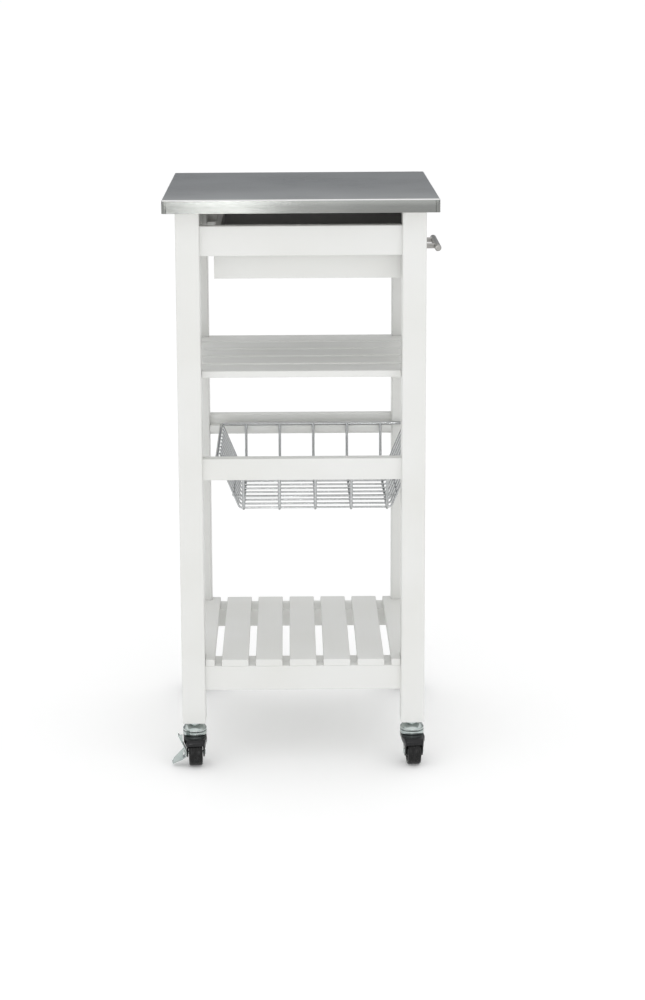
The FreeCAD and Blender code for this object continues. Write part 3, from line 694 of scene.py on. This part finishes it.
rim = wire("basket_rim_wire", corners_xy(RIM_X, RIM_Y, RIM_Z), RIM_R, RIM_BEND, True, 5)
lean_x = RIM_X - RIM_R - LONG_R + WELD
lean_y = RIM_Y - RIM_R - CROSS_R + WELD
long_wires = []
for i in range(LONG_COUNT):
    y = (i - (LONG_COUNT - 1) / 2) * LONG_PITCH
    path = [
        (BASKET_X - lean_x, y, RIM_Z),
        (BASKET_X - FLOOR_X, y, LONG_Z),
        (BASKET_X + FLOOR_X, y, LONG_Z),
        (BASKET_X + lean_x, y, RIM_Z),
    ]
    long_wires.append(wire("long_wire", path, LONG_R, LONG_BEND, False))
cross_wires = []
for i in range(CROSS_COUNT):
    x = BASKET_X + (i - (CROSS_COUNT - 1) / 2) * CROSS_PITCH
    path = [(x, -lean_y, RIM_Z), (x, -FLOOR_Y, FLOOR_Z), (x, FLOOR_Y, FLOOR_Z), (x, lean_y, RIM_Z)]
    cross_wires.append(wire("cross_wire", path, CROSS_R, CROSS_BEND, False))
rise = (BELT_Z - FLOOR_Z) / (RIM_Z - FLOOR_Z)
belt_x = FLOOR_X + rise * (lean_x - FLOOR_X) + LONG_R
belt_y = FLOOR_Y + rise * (lean_y - FLOOR_Y) - CROSS_R - LONG_R + WELD
belt = wire("basket_belt_wire", corners_xy(belt_x, belt_y, BELT_Z), LONG_R, BELT_BEND, True)
grille = "basket_floor_grille", "basket_near_grille", "basket_far_grille"
walls = "basket_left_grille", "basket_right_grille"
for piece, replaced in (
    (rim, ["basket_rim"]),
    (gathered("basket_long_wires", long_wires), grille + walls),
    (gathered("basket_cross_wires", cross_wires), grille),
    (belt, walls),
):
    done(piece, CHROME, 60)
    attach(piece, "basket")
    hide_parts(*replaced)
    report(piece)

# %% [markdown]
# ## Where the casters stand
# All four casters are alike, but each has turned its own way. The joints say where each stem is, which
# way its axle points and how far the wheel trails behind the stem. So the caster's pieces are modelled
# once, with the stem on the Z axis, the wheel trailing towards -Y and the axle along X. Copies are then
# turned and moved under the legs.

# %% Caster places
first_swivel = Vector(joints["near_left_swivel"]["pos_m"])
first_roll = Vector(joints["near_left_roll"]["pos_m"])
TRAIL = (first_roll.xy - first_swivel.xy).length
WHEEL_R = first_roll.z
WHEEL_HALF = 10.0 * MM
HUB = Vector((0, -TRAIL, WHEEL_R))
BRAKED = [corner for corner in CORNERS if corner + "_brake_turn" in joints]


def under_leg(template, name, corner, body, replaced):
    """A copy of a caster piece, turned and moved to one corner."""
    alone(template)
    bpy.ops.object.duplicate(linked=False)
    piece = bpy.context.object
    piece.name = name
    piece.data.name = name
    stem = joints[corner + "_swivel"]["pos_m"]
    axle = joints[corner + "_roll"]["axis"]
    piece.rotation_euler = (0, 0, math.atan2(axle[1], axle[0]))
    piece.location = (stem[0], stem[1], 0)
    bpy.ops.object.transform_apply(location=True, rotation=True, scale=True)
    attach(piece, body)
    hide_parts(replaced)
    return piece


print("wheel radius", round(WHEEL_R / MM, 1), "trail", round(TRAIL / MM, 1), "braked:", ", ".join(BRAKED))

# %% [markdown]
# ## The wheel
# The wheel is one moulding: a tread with round shoulders, a dished web on each side and a hub. It starts
# as a cylinder on its side. The end faces are inset and pushed in for the web, inset again and pulled
# out for the hub, and the last small faces are bridged to make the axle's hole. A shallow groove round
# the middle is the mould's parting line.

# %% The wheel
AXLE_HOLE_R = 2.6 * MM
INTO_WEB, WEB_DISH = (4.5 * MM, -1.6 * MM), (1.2 * MM, -0.6 * MM)
ACROSS_WEB, UP_TO_HUB = (6.0 * MM, 0), (0.6 * MM, 2.6 * MM)
ACROSS_HUB = (5.1 * MM - AXLE_HOLE_R, 0)
TREAD_INSIDE = WHEEL_R - 0.5 * MM
GROOVE_HALF, GROOVE_SHRINK = 0.4 * MM, 0.99
SHOULDER_R, MOULD_EDGE = 2.4 * MM, 0.35 * MM


def end_faces(face):
    """The two big faces across the axle, whichever inset they have reached."""
    return abs(face.normal.x) > 0.99 and (face.calc_center_median() - HUB).yz.length < 0.2 * MM


def step_in(piece, inset, depth):
    """Insets the end faces and moves them along their normals."""
    pick(piece, "FACE", end_faces)
    bpy.ops.mesh.inset(thickness=inset, use_even_offset=True)
    if depth:
        pick(piece, "FACE", end_faces)
        bpy.ops.mesh.extrude_region_shrink_fatten(TRANSFORM_OT_shrink_fatten={"value": depth})


fresh()
bpy.ops.mesh.primitive_cylinder_add(
    vertices=64, radius=WHEEL_R, depth=2 * WHEEL_HALF, location=HUB, rotation=(0, math.pi / 2, 0)
)
wheel = named("wheel_template")
for inset, depth in (INTO_WEB, WEB_DISH, ACROSS_WEB, UP_TO_HUB, ACROSS_HUB):
    step_in(wheel, inset, depth)
print("hub faces", pick(wheel, "FACE", end_faces))
bpy.ops.mesh.bridge_edge_loops()
for groove_x in (-GROOVE_HALF, 0, GROOVE_HALF):
    pick(wheel, "FACE", lambda face: (face.calc_center_median() - HUB).yz.length > TREAD_INSIDE)
    bpy.ops.mesh.bisect(plane_co=(groove_x, 0, 0), plane_no=(1, 0, 0))


def parting_line(vert):
    """The middle of the tread, all the way round."""
    return abs(vert.co.x) < 0.05 * MM and (vert.co - HUB).yz.length > TREAD_INSIDE


pick(wheel, "VERT", parting_line)
bpy.ops.transform.resize(value=(1, GROOVE_SHRINK, GROOVE_SHRINK), center_override=HUB)


def shoulder(edge):
    """The tread's outer edges on both sides."""
    across = abs(run(edge).x) < 0.1 and abs(abs(middle(edge).x) - WHEEL_HALF) < 0.05 * MM
    return across and (middle(edge) - HUB).yz.length > TREAD_INSIDE


pick(wheel, "EDGE", shoulder)
bpy.ops.mesh.bevel(offset=SHOULDER_R, segments=5, affect="EDGES")
modified(
    wheel, "BEVEL", width=MOULD_EDGE, segments=2, limit_method="ANGLE", angle_limit=math.radians(50)
)
done(wheel, NYLON, 40)
for corner in CORNERS:
    name = corner + "_wheel"
    report(under_leg(wheel, name + "_moulded", corner, corner + "_caster_wheel", name))
bpy.data.objects.remove(wheel)

# %% [markdown]
# ## The fork
# The fork is one stamping. Its shoulders are as wide as the bearing, a round hood covers the wheel's
# top, and the cheeks draw in to the axle, where they end round. A box that is open behind, below
# and low in front has the right walls, and level cuts let each wall be shaped.

# %% The fork's box
FORK_SHEET = 2.0 * MM
AXLE_HALF = 13.5 * MM
SHOULDER_HALF = 17.5 * MM
SKIRT_HALF = 16.5 * MM
FRONT_HALF = 13.0 * MM
BACK_HALF = 12.5 * MM
CROWN_Z = 43.4 * MM
SHOULDER_Z = 37.0 * MM
SKIRT_Z = 34.5 * MM
CHEEK_Z = 27.0 * MM
HOOD_FRONT, HOOD_BACK = -35.0 * MM, 13.0 * MM
NARROWS_Y, BACK_CUT_Y = -19.0 * MM, 8.5 * MM
FOOT_R = 7.0 * MM
FOOT_ROUND = 0.8 * FOOT_R
HOOD_ROUND, CORNER_ROUND, FORK_EDGE = 6.2 * MM, 2.2 * MM, 0.4 * MM
NEAR = 0.1 * MM
fresh()
bpy.ops.mesh.primitive_cube_add(
    size=1,
    location=(0, (HOOD_FRONT + HOOD_BACK) / 2, (WHEEL_R + CROWN_Z) / 2),
    scale=(2 * SHOULDER_HALF, HOOD_BACK - HOOD_FRONT, CROWN_Z - WHEEL_R),
)
fork = named("fork_template")
pick(fork, "FACE", lambda face: face.normal.y > 0.9 or face.normal.z < -0.9)
bpy.ops.mesh.delete(type="FACE")
for place, across in (
    ((0, 0, SHOULDER_Z), (0, 0, 1)),
    ((0, 0, SKIRT_Z), (0, 0, 1)),
    ((0, 0, CHEEK_Z), (0, 0, 1)),
    ((0, NARROWS_Y, 0), (0, 1, 0)),
    ((0, BACK_CUT_Y, 0), (0, 1, 0)),
):
    pick(fork, "FACE", lambda face: True)
    bpy.ops.mesh.bisect(plane_co=place, plane_no=across)
pick(fork, "FACE", lambda face: face.normal.y < -0.9 and face.calc_center_median().z < SKIRT_Z)
bpy.ops.mesh.delete(type="FACE")
print("fork box with", len(bmesh.from_edit_mesh(fork.data).faces), "faces")

# %% [markdown]
# ## The fork's shape
# Each level of the box is drawn in to its own width, and its corners are pulled to the axle. The feet are
# rounded, the hood's front edge gets a wide bevel, and Solidify gives the steel its gauge.

# %% The fork's shape
for level, half in ((WHEEL_R, AXLE_HALF), (CHEEK_Z, AXLE_HALF), (SKIRT_Z, SKIRT_HALF)):
    pick(fork, "VERT", lambda vert: abs(vert.co.z - level) < NEAR)
    bpy.ops.transform.resize(value=(half / SHOULDER_HALF, 1, 1), center_override=(0, 0, 0))
for end, level, half in (
    (HOOD_FRONT, CROWN_Z, FRONT_HALF / SHOULDER_HALF),
    (HOOD_FRONT, SHOULDER_Z, FRONT_HALF / SHOULDER_HALF),
    (HOOD_FRONT, SKIRT_Z, FRONT_HALF / SKIRT_HALF),
    (HOOD_BACK, CROWN_Z, BACK_HALF / SHOULDER_HALF),
):
    pick(fork, "VERT", lambda vert: abs(vert.co.z - level) < NEAR and abs(vert.co.y - end) < NEAR)
    bpy.ops.transform.resize(value=(half, 1, 1), center_override=(0, 0, 0))
for level, front_share, back_share in (
    (WHEEL_R, 1.0, 1.0),
    (CHEEK_Z, 0.54, 0.71),
    (SKIRT_Z, 0.0, 0.4),
    (SHOULDER_Z, 0.0, 0.29),
):
    for end, goal, share in (
        (HOOD_FRONT, HUB.y - FOOT_R, front_share),
        (BACK_CUT_Y, HUB.y + FOOT_R - MM, back_share),
        (HOOD_BACK, HUB.y + FOOT_R, back_share),
    ):
        pick(fork, "VERT", lambda vert: abs(vert.co.z - level) < NEAR and abs(vert.co.y - end) < NEAR)
        bpy.ops.transform.translate(value=(0, share * (goal - end), 0))
foot_low = WHEEL_R - FOOT_R
pick(fork, "VERT", lambda vert: vert.co.z < WHEEL_R + NEAR)
bpy.ops.transform.translate(value=(0, 0, -FOOT_R))


def foot_corner(vert):
    """The outer corners of the two feet."""
    return vert.co.z < foot_low + NEAR and abs(abs(vert.co.y - HUB.y) - FOOT_R) < NEAR


print("foot corners", pick(fork, "VERT", foot_corner))
bpy.ops.mesh.bevel(offset=FOOT_ROUND, segments=6, affect="VERTICES")


def hood_edge(edge):
    """Where the hood's front turns into the crown."""
    place = middle(edge)
    return abs(run(edge).x) > 0.99 and place.y < HOOD_FRONT + MM and place.z > SHOULDER_Z + MM


print("hood edges", pick(fork, "EDGE", hood_edge))
bpy.ops.mesh.bevel(offset=HOOD_ROUND, segments=6, affect="EDGES")


def hood_corner(edge):
    """The edges where the cheeks meet the crown, the hood and the skirt."""
    cheeks = [abs(face.normal.x) > 0.6 for face in edge.link_faces]
    return len(cheeks) == 2 and cheeks[0] != cheeks[1] and middle(edge).z > SKIRT_Z - MM


print("hood corners", pick(fork, "EDGE", hood_corner))
bpy.ops.mesh.bevel(offset=CORNER_ROUND, segments=4, affect="EDGES")
modified(fork, "SOLIDIFY", thickness=FORK_SHEET, offset=-1.0, use_even_offset=True)
modified(
    fork, "BEVEL", width=FORK_EDGE, segments=2, limit_method="ANGLE", angle_limit=math.radians(50)
)
done(fork, ENAMEL, 40)
for corner in CORNERS:
    name = corner + "_fork"
    report(under_leg(fork, name + "_stamped", corner, corner + "_caster", name))
bpy.data.objects.remove(fork)

# %% [markdown]
# ## The bearing: a lower race and an upper cup
# Between the leg and the fork sit two pressed zinc rings with the balls between them. The lower one
# turns with the fork. The upper one stays with the stem and domes up to a collar against the leg. Both
# are round, so each starts as a cylinder whose top is inset, moved up or down, and bevelled.

# %% The bearing
cup_low, cup_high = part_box("near_left_stem")
CUP_R = (cup_high.x - cup_low.x) / 2
LEG_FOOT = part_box("near_left_leg")[0].z
BALL_GAP = 1.3 * MM
RACE_LOW, RACE_HIGH = CROWN_Z, cup_low.z - BALL_GAP
RACE_ROUND, RACE_RING, RACE_DISH = 0.9 * MM, 2.2 * MM, 1.0 * MM
CUP_BASE = 2.5 * MM
CUP_STEPS = ((1.0, 1.2), (2.6, 3.2), (3.2, 1.6), (3.0, -0.8))
COLLAR_SINK, COLLAR_RING = 0.8 * MM, 4.2 * MM
RACE_EDGE, CUP_EDGE = 0.5 * MM, 0.4 * MM
fresh()
bpy.ops.mesh.primitive_cylinder_add(
    vertices=64,
    radius=CUP_R,
    depth=RACE_HIGH - RACE_LOW,
    location=(0, 0, (RACE_LOW + RACE_HIGH) / 2),
)
race = named("race_template")
pick(race, "EDGE", lambda edge: abs(run(edge).z) < 0.1)
bpy.ops.mesh.bevel(offset=RACE_ROUND, segments=4, affect="EDGES")
pick(race, "FACE", lambda face: face.normal.z > 0.99)
bpy.ops.mesh.inset(thickness=RACE_RING)
bpy.ops.transform.translate(value=(0, 0, -RACE_DISH))
modified(race, "BEVEL", width=RACE_EDGE, segments=3, limit_method="ANGLE", angle_limit=math.radians(30))
done(race, ZINC, 40)

fresh()
bpy.ops.mesh.primitive_cylinder_add(
    vertices=64, radius=CUP_R, depth=CUP_BASE, location=(0, 0, cup_low.z + CUP_BASE / 2)
)
cup = named("cup_template")


def top_face(face):
    """The face that looks up and lies on the stem's axis."""
    return face.normal.z > 0.99 and face.calc_center_median().xy.length < NEAR


for inset, rise in CUP_STEPS:
    pick(cup, "FACE", top_face)
    bpy.ops.mesh.inset(thickness=inset * MM)
    bpy.ops.transform.translate(value=(0, 0, rise * MM))
pick(cup, "FACE", top_face)
top = max(vert.co.z for vert in bmesh.from_edit_mesh(cup.data).verts)
collar = LEG_FOOT - top + COLLAR_SINK
bpy.ops.mesh.extrude_region_move(TRANSFORM_OT_translate={"value": (0, 0, collar)})
bpy.ops.mesh.inset(thickness=COLLAR_RING)
bpy.ops.mesh.extrude_region_move(TRANSFORM_OT_translate={"value": (0, 0, cup_high.z - LEG_FOOT)})
modified(cup, "BEVEL", width=CUP_EDGE, segments=3, limit_method="ANGLE", angle_limit=math.radians(25))
done(cup, ZINC, 40)
for corner in CORNERS:
    report(under_leg(race, corner + "_race", corner, corner + "_caster", corner + "_fork"))
    report(under_leg(cup, corner + "_cup", corner, "frame", corner + "_stem"))
bpy.data.objects.remove(race)
bpy.data.objects.remove(cup)

# %% [markdown]
# ## Axles
# Each axle is a rivet, closed on both sides into a low round head. It starts as a thin cylinder. Its
# ends are pulled out, widened into heads and bevelled until they are domed. Where there is a brake, the
# axle is longer by the lever.

# %% The axles
AXLE_R = 2.5 * MM
HEAD, HEAD_WIDER, HEAD_ROUND = 1.5 * MM, 1.6, 1.2 * MM
LEVER_ROOM = 2.2 * MM
for corner in CORNERS:
    braked = corner in BRAKED
    right_end = AXLE_HALF
    left_end = -AXLE_HALF - (LEVER_ROOM if braked else 0)
    fresh()
    bpy.ops.mesh.primitive_cylinder_add(
        vertices=32,
        radius=AXLE_R,
        depth=right_end - left_end,
        location=((left_end + right_end) / 2, HUB.y, HUB.z),
        rotation=(0, math.pi / 2, 0),
    )
    axle = named("axle_template")
    pick(axle, "FACE", lambda face: abs(face.normal.x) > 0.99)
    bpy.ops.mesh.extrude_region_shrink_fatten(TRANSFORM_OT_shrink_fatten={"value": 0.01 * MM})
    pick(axle, "VERT", lambda vert: not left_end - 1e-6 < vert.co.x < right_end + 1e-6)
    bpy.ops.transform.resize(value=(1, HEAD_WIDER, HEAD_WIDER), center_override=HUB)
    pick(axle, "FACE", end_faces)
    bpy.ops.mesh.extrude_region_shrink_fatten(TRANSFORM_OT_shrink_fatten={"value": HEAD})

    def head_rim(edge):
        """The outer rims of the two heads."""
        inside = left_end - HEAD / 2 < middle(edge).x < right_end + HEAD / 2
        return abs(run(edge).x) < 0.1 and not inside

    pick(axle, "EDGE", head_rim)
    bpy.ops.mesh.bevel(offset=HEAD_ROUND, segments=4, affect="EDGES")
    done(axle, ZINC, 40)
    report(under_leg(axle, corner + "_rivet", corner, corner + "_caster", corner + "_axle"))
    bpy.data.objects.remove(axle)

# %% [markdown]
# ## The brake lever
# Two casters have a brake. Its lever is a pressed strip that turns on the axle's left end: a tab above,
# to lift it with a toe, and a pedal below, to press it down. The strip starts as a plane between the
# first two bends. Its last edge is extruded from bend to bend, and Solidify gives the gauge.

# %% The brake lever's strip
LEVER_SHEET = 1.6 * MM
LEVER_GAP = 0.3 * MM
LEVER_X = -AXLE_HALF - LEVER_GAP - LEVER_SHEET / 2
LEVER_HALF = 7.0 * MM
TIP_R, BEND_R, STRIP_EDGE = 4.0 * MM, 1.5 * MM, 0.35 * MM
LEVER_BENDS = [(11, 29), (4.5, 15), (0, 4.5), (0, -4.5), (4.5, -8), (20.5, -14.5)]
lever_path = [Vector((LEVER_X - out * MM, 0, WHEEL_R + up * MM)) for out, up in LEVER_BENDS]
fresh()
bpy.ops.mesh.primitive_plane_add(size=1)
lever = named("lever_template")
start, second = lever_path[0], lever_path[1]
for index, (y, point) in enumerate(((-1, start), (1, start), (-1, second), (1, second))):
    lever.data.vertices[index].co = (point.x, HUB.y + y * LEVER_HALF, point.z)
for here, there in zip(lever_path[1:], lever_path[2:]):
    pick(lever, "EDGE", lambda edge: abs(run(edge).y) > 0.99 and abs(middle(edge).z - here.z) < 1e-6)
    step = there - here
    bpy.ops.mesh.extrude_region_move(TRANSFORM_OT_translate={"value": (step.x, 0, step.z)})


def back_corner(vert):
    """The two ends' corners on the side away from the flanges."""
    at_end = vert.co.z < lever_path[-1].z + 1e-6 or vert.co.z > lever_path[0].z - 1e-6
    return at_end and vert.co.y > HUB.y


pick(lever, "VERT", back_corner)
bpy.ops.mesh.bevel(offset=TIP_R, segments=5, affect="VERTICES")
bends = [point.z for point in lever_path[1:-1]]


def bend_line(edge):
    """The lines across the strip where it is bent."""
    return abs(run(edge).y) > 0.99 and min(abs(middle(edge).z - z) for z in bends) < 1e-6


pick(lever, "EDGE", bend_line)
bpy.ops.mesh.bevel(offset=BEND_R, segments=3, affect="EDGES")
modified(lever, "SOLIDIFY", thickness=LEVER_SHEET, offset=0.0, use_even_offset=True)
modified(
    lever, "BEVEL", width=STRIP_EDGE, segments=2, limit_method="ANGLE", angle_limit=math.radians(60)
)
report(lever)

# %% [markdown]
# ## The brake lever's flanges
# The strip's front edge is turned up into flanges that stiffen the tab and the pedal. Each flange is a
# flat plate, so it starts as a filled circle with as many corners as the plate has.

# %% The brake lever's flanges
TAB_FLANGE = [(11, 29), (4.9, 31), (4.9, 16)]
PEDAL_FLANGE = [(2.2, 11), (5, 8.5), (19, -6), (20.5, -14.5), (5, -8), (4.8, 0), (2.4, 6.5)]
PLATE_R, PLATE_EDGE = 0.8 * MM, 0.45 * MM
plates = [lever]
for outline in (TAB_FLANGE, PEDAL_FLANGE):
    fresh()
    bpy.ops.mesh.primitive_circle_add(vertices=len(outline), fill_type="NGON")
    plate = named("lever_flange")
    for vert, (out, up) in zip(plate.data.vertices, outline):
        vert.co = (LEVER_X - out * MM, HUB.y - LEVER_HALF + LEVER_SHEET / 2, WHEEL_R + up * MM)
    modified(plate, "BEVEL", affect="VERTICES", width=PLATE_R, segments=3)
    modified(plate, "SOLIDIFY", thickness=LEVER_SHEET, offset=0.0)
    modified(
        plate, "BEVEL", width=PLATE_EDGE, segments=3, limit_method="ANGLE", angle_limit=math.radians(60)
    )
    plates.append(plate)
lever = gathered("lever_template", plates)
done(lever, ZINC, 40)
for corner in BRAKED:
    name = corner + "_brake_lever"
    report(under_leg(lever, name + "_pressed", corner, corner + "_brake", name))
bpy.data.objects.remove(lever)

# %% [markdown]
# ## The floor
# White furniture on a white floor shows its form only by soft shading. The floor glows a little, like a
# table that is lit from below, so the shadows under the cart stay faint.

# %% The floor
FLOOR_GREY, FLOOR_WHITE = (0.93, 0.93, 0.93, 1), (0.95, 0.95, 0.95, 1)
FLOOR_SOCKETS = {"IOR": 1.3, "Emission Color": (1, 1, 1, 1), "Emission Strength": 0.12}
fresh()
bpy.ops.mesh.primitive_plane_add(size=160)
ground = named("studio_floor")
FLOOR_FINISH = Finish("studio_floor", FLOOR_SOCKETS)
floor_tone = FLOOR_FINISH.noise(0.6, 2.0)
FLOOR_FINISH.feed("Base Color", FLOOR_FINISH.blend(floor_tone, FLOOR_GREY, FLOOR_WHITE))
FLOOR_FINISH.feed("Roughness", 0.7 + 0.1 * floor_tone)
put_on(ground, FLOOR_FINISH)
print("floor", ground.name, [round(side) for side in ground.dimensions], "m")

# %% [markdown]
# ## The studio's walls
# The studio is white overhead and in front, and a middle grey low down at the back and the sides: that is
# what the steel top mirrors at a low angle, and a white wall there would bleach it. Seen directly, the
# studio is plain white.

# %% The studio's walls
HORIZON = (0.27, 0.278, 0.29, 1)
ZENITH = (1.1, 1.1, 1.1, 1)
FRONT_WALL = 0.65
CLIMB_FROM, CLIMB_TO = 0.2, 0.6
FRONT_FROM, FRONT_TO = -0.2, -0.9
world = bpy.data.worlds.new("studio")
world.use_nodes = True
sky = world.node_tree
direction = sky.nodes.new("ShaderNodeTexCoord")
height = sky.nodes.new("ShaderNodeSeparateXYZ")
sky.links.new(direction.outputs["Generated"], height.inputs["Vector"])
climb = sky.nodes.new("ShaderNodeMapRange")
climb.interpolation_type = "SMOOTHSTEP"
climb.inputs["From Min"].default_value = CLIMB_FROM
climb.inputs["From Max"].default_value = CLIMB_TO
sky.links.new(height.outputs["Z"], climb.inputs["Value"])
front = sky.nodes.new("ShaderNodeMapRange")
front.interpolation_type = "SMOOTHSTEP"
front.inputs["From Min"].default_value = FRONT_FROM
front.inputs["From Max"].default_value = FRONT_TO
front.inputs["To Max"].default_value = FRONT_WALL
sky.links.new(height.outputs["Y"], front.inputs["Value"])
brighter = sky.nodes.new("ShaderNodeMath")
brighter.operation = "MAXIMUM"
sky.links.new(climb.outputs["Result"], brighter.inputs[0])
sky.links.new(front.outputs["Result"], brighter.inputs[1])
mixed_sky = sky.nodes.new("ShaderNodeMix")
mixed_sky.data_type = "RGBA"
mixed_sky.inputs[6].default_value = HORIZON
mixed_sky.inputs[7].default_value = ZENITH
sky.links.new(brighter.outputs["Value"], mixed_sky.inputs[0])
seen = sky.nodes.new("ShaderNodeLightPath")
backdrop = sky.nodes.new("ShaderNodeMix")
backdrop.data_type = "RGBA"
backdrop.inputs[7].default_value = (1, 1, 1, 1)
sky.links.new(seen.outputs["Is Camera Ray"], backdrop.inputs[0])
sky.links.new(mixed_sky.outputs[2], backdrop.inputs[6])
sky.links.new(backdrop.outputs[2], sky.nodes["Background"].inputs["Color"])
bpy.context.scene.world = world
print("studio walls:", len(sky.nodes), "nodes")

# %% [markdown]
# ## Softboxes
# The light is broad and comes mostly from the front. Three large softboxes stand behind the eye or beside
# it, and a slim upright strip puts one bright band on the worktop's lip.

# %% Softboxes
def softbox(name, place, aim, width, height, power):
    """A soft rectangular light that points at a place."""
    data = bpy.data.lights.new(name, "AREA")
    data.shape = "RECTANGLE"
    data.size, data.size_y = width, height
    data.energy = power
    light = bpy.data.objects.new(name, data)
    bpy.context.scene.collection.objects.link(light)
    light.location = place
    light.rotation_euler = (Vector(aim) - Vector(place)).to_track_quat("-Z", "Y").to_euler()
    print(name, "at", place, "with", power, "W")


AIM = (0, 0, 0.45)
softbox("front_left", (-1.7, -3.6, 1.15), AIM, 1.6, 1.2, 1.5)
softbox("front_right", (2.2, -3.2, 1.1), AIM, 1.4, 1.2, 2)
softbox("wide_front", (0, -4.6, 1.5), AIM, 3.2, 1.0, 9)
softbox("slim_strip", (-0.24, -3.9, 0.9), (-0.1, -0.19, 0.85), 0.08, 1.8, 6.5)
bpy.context.scene.view_settings.view_transform = "Standard"
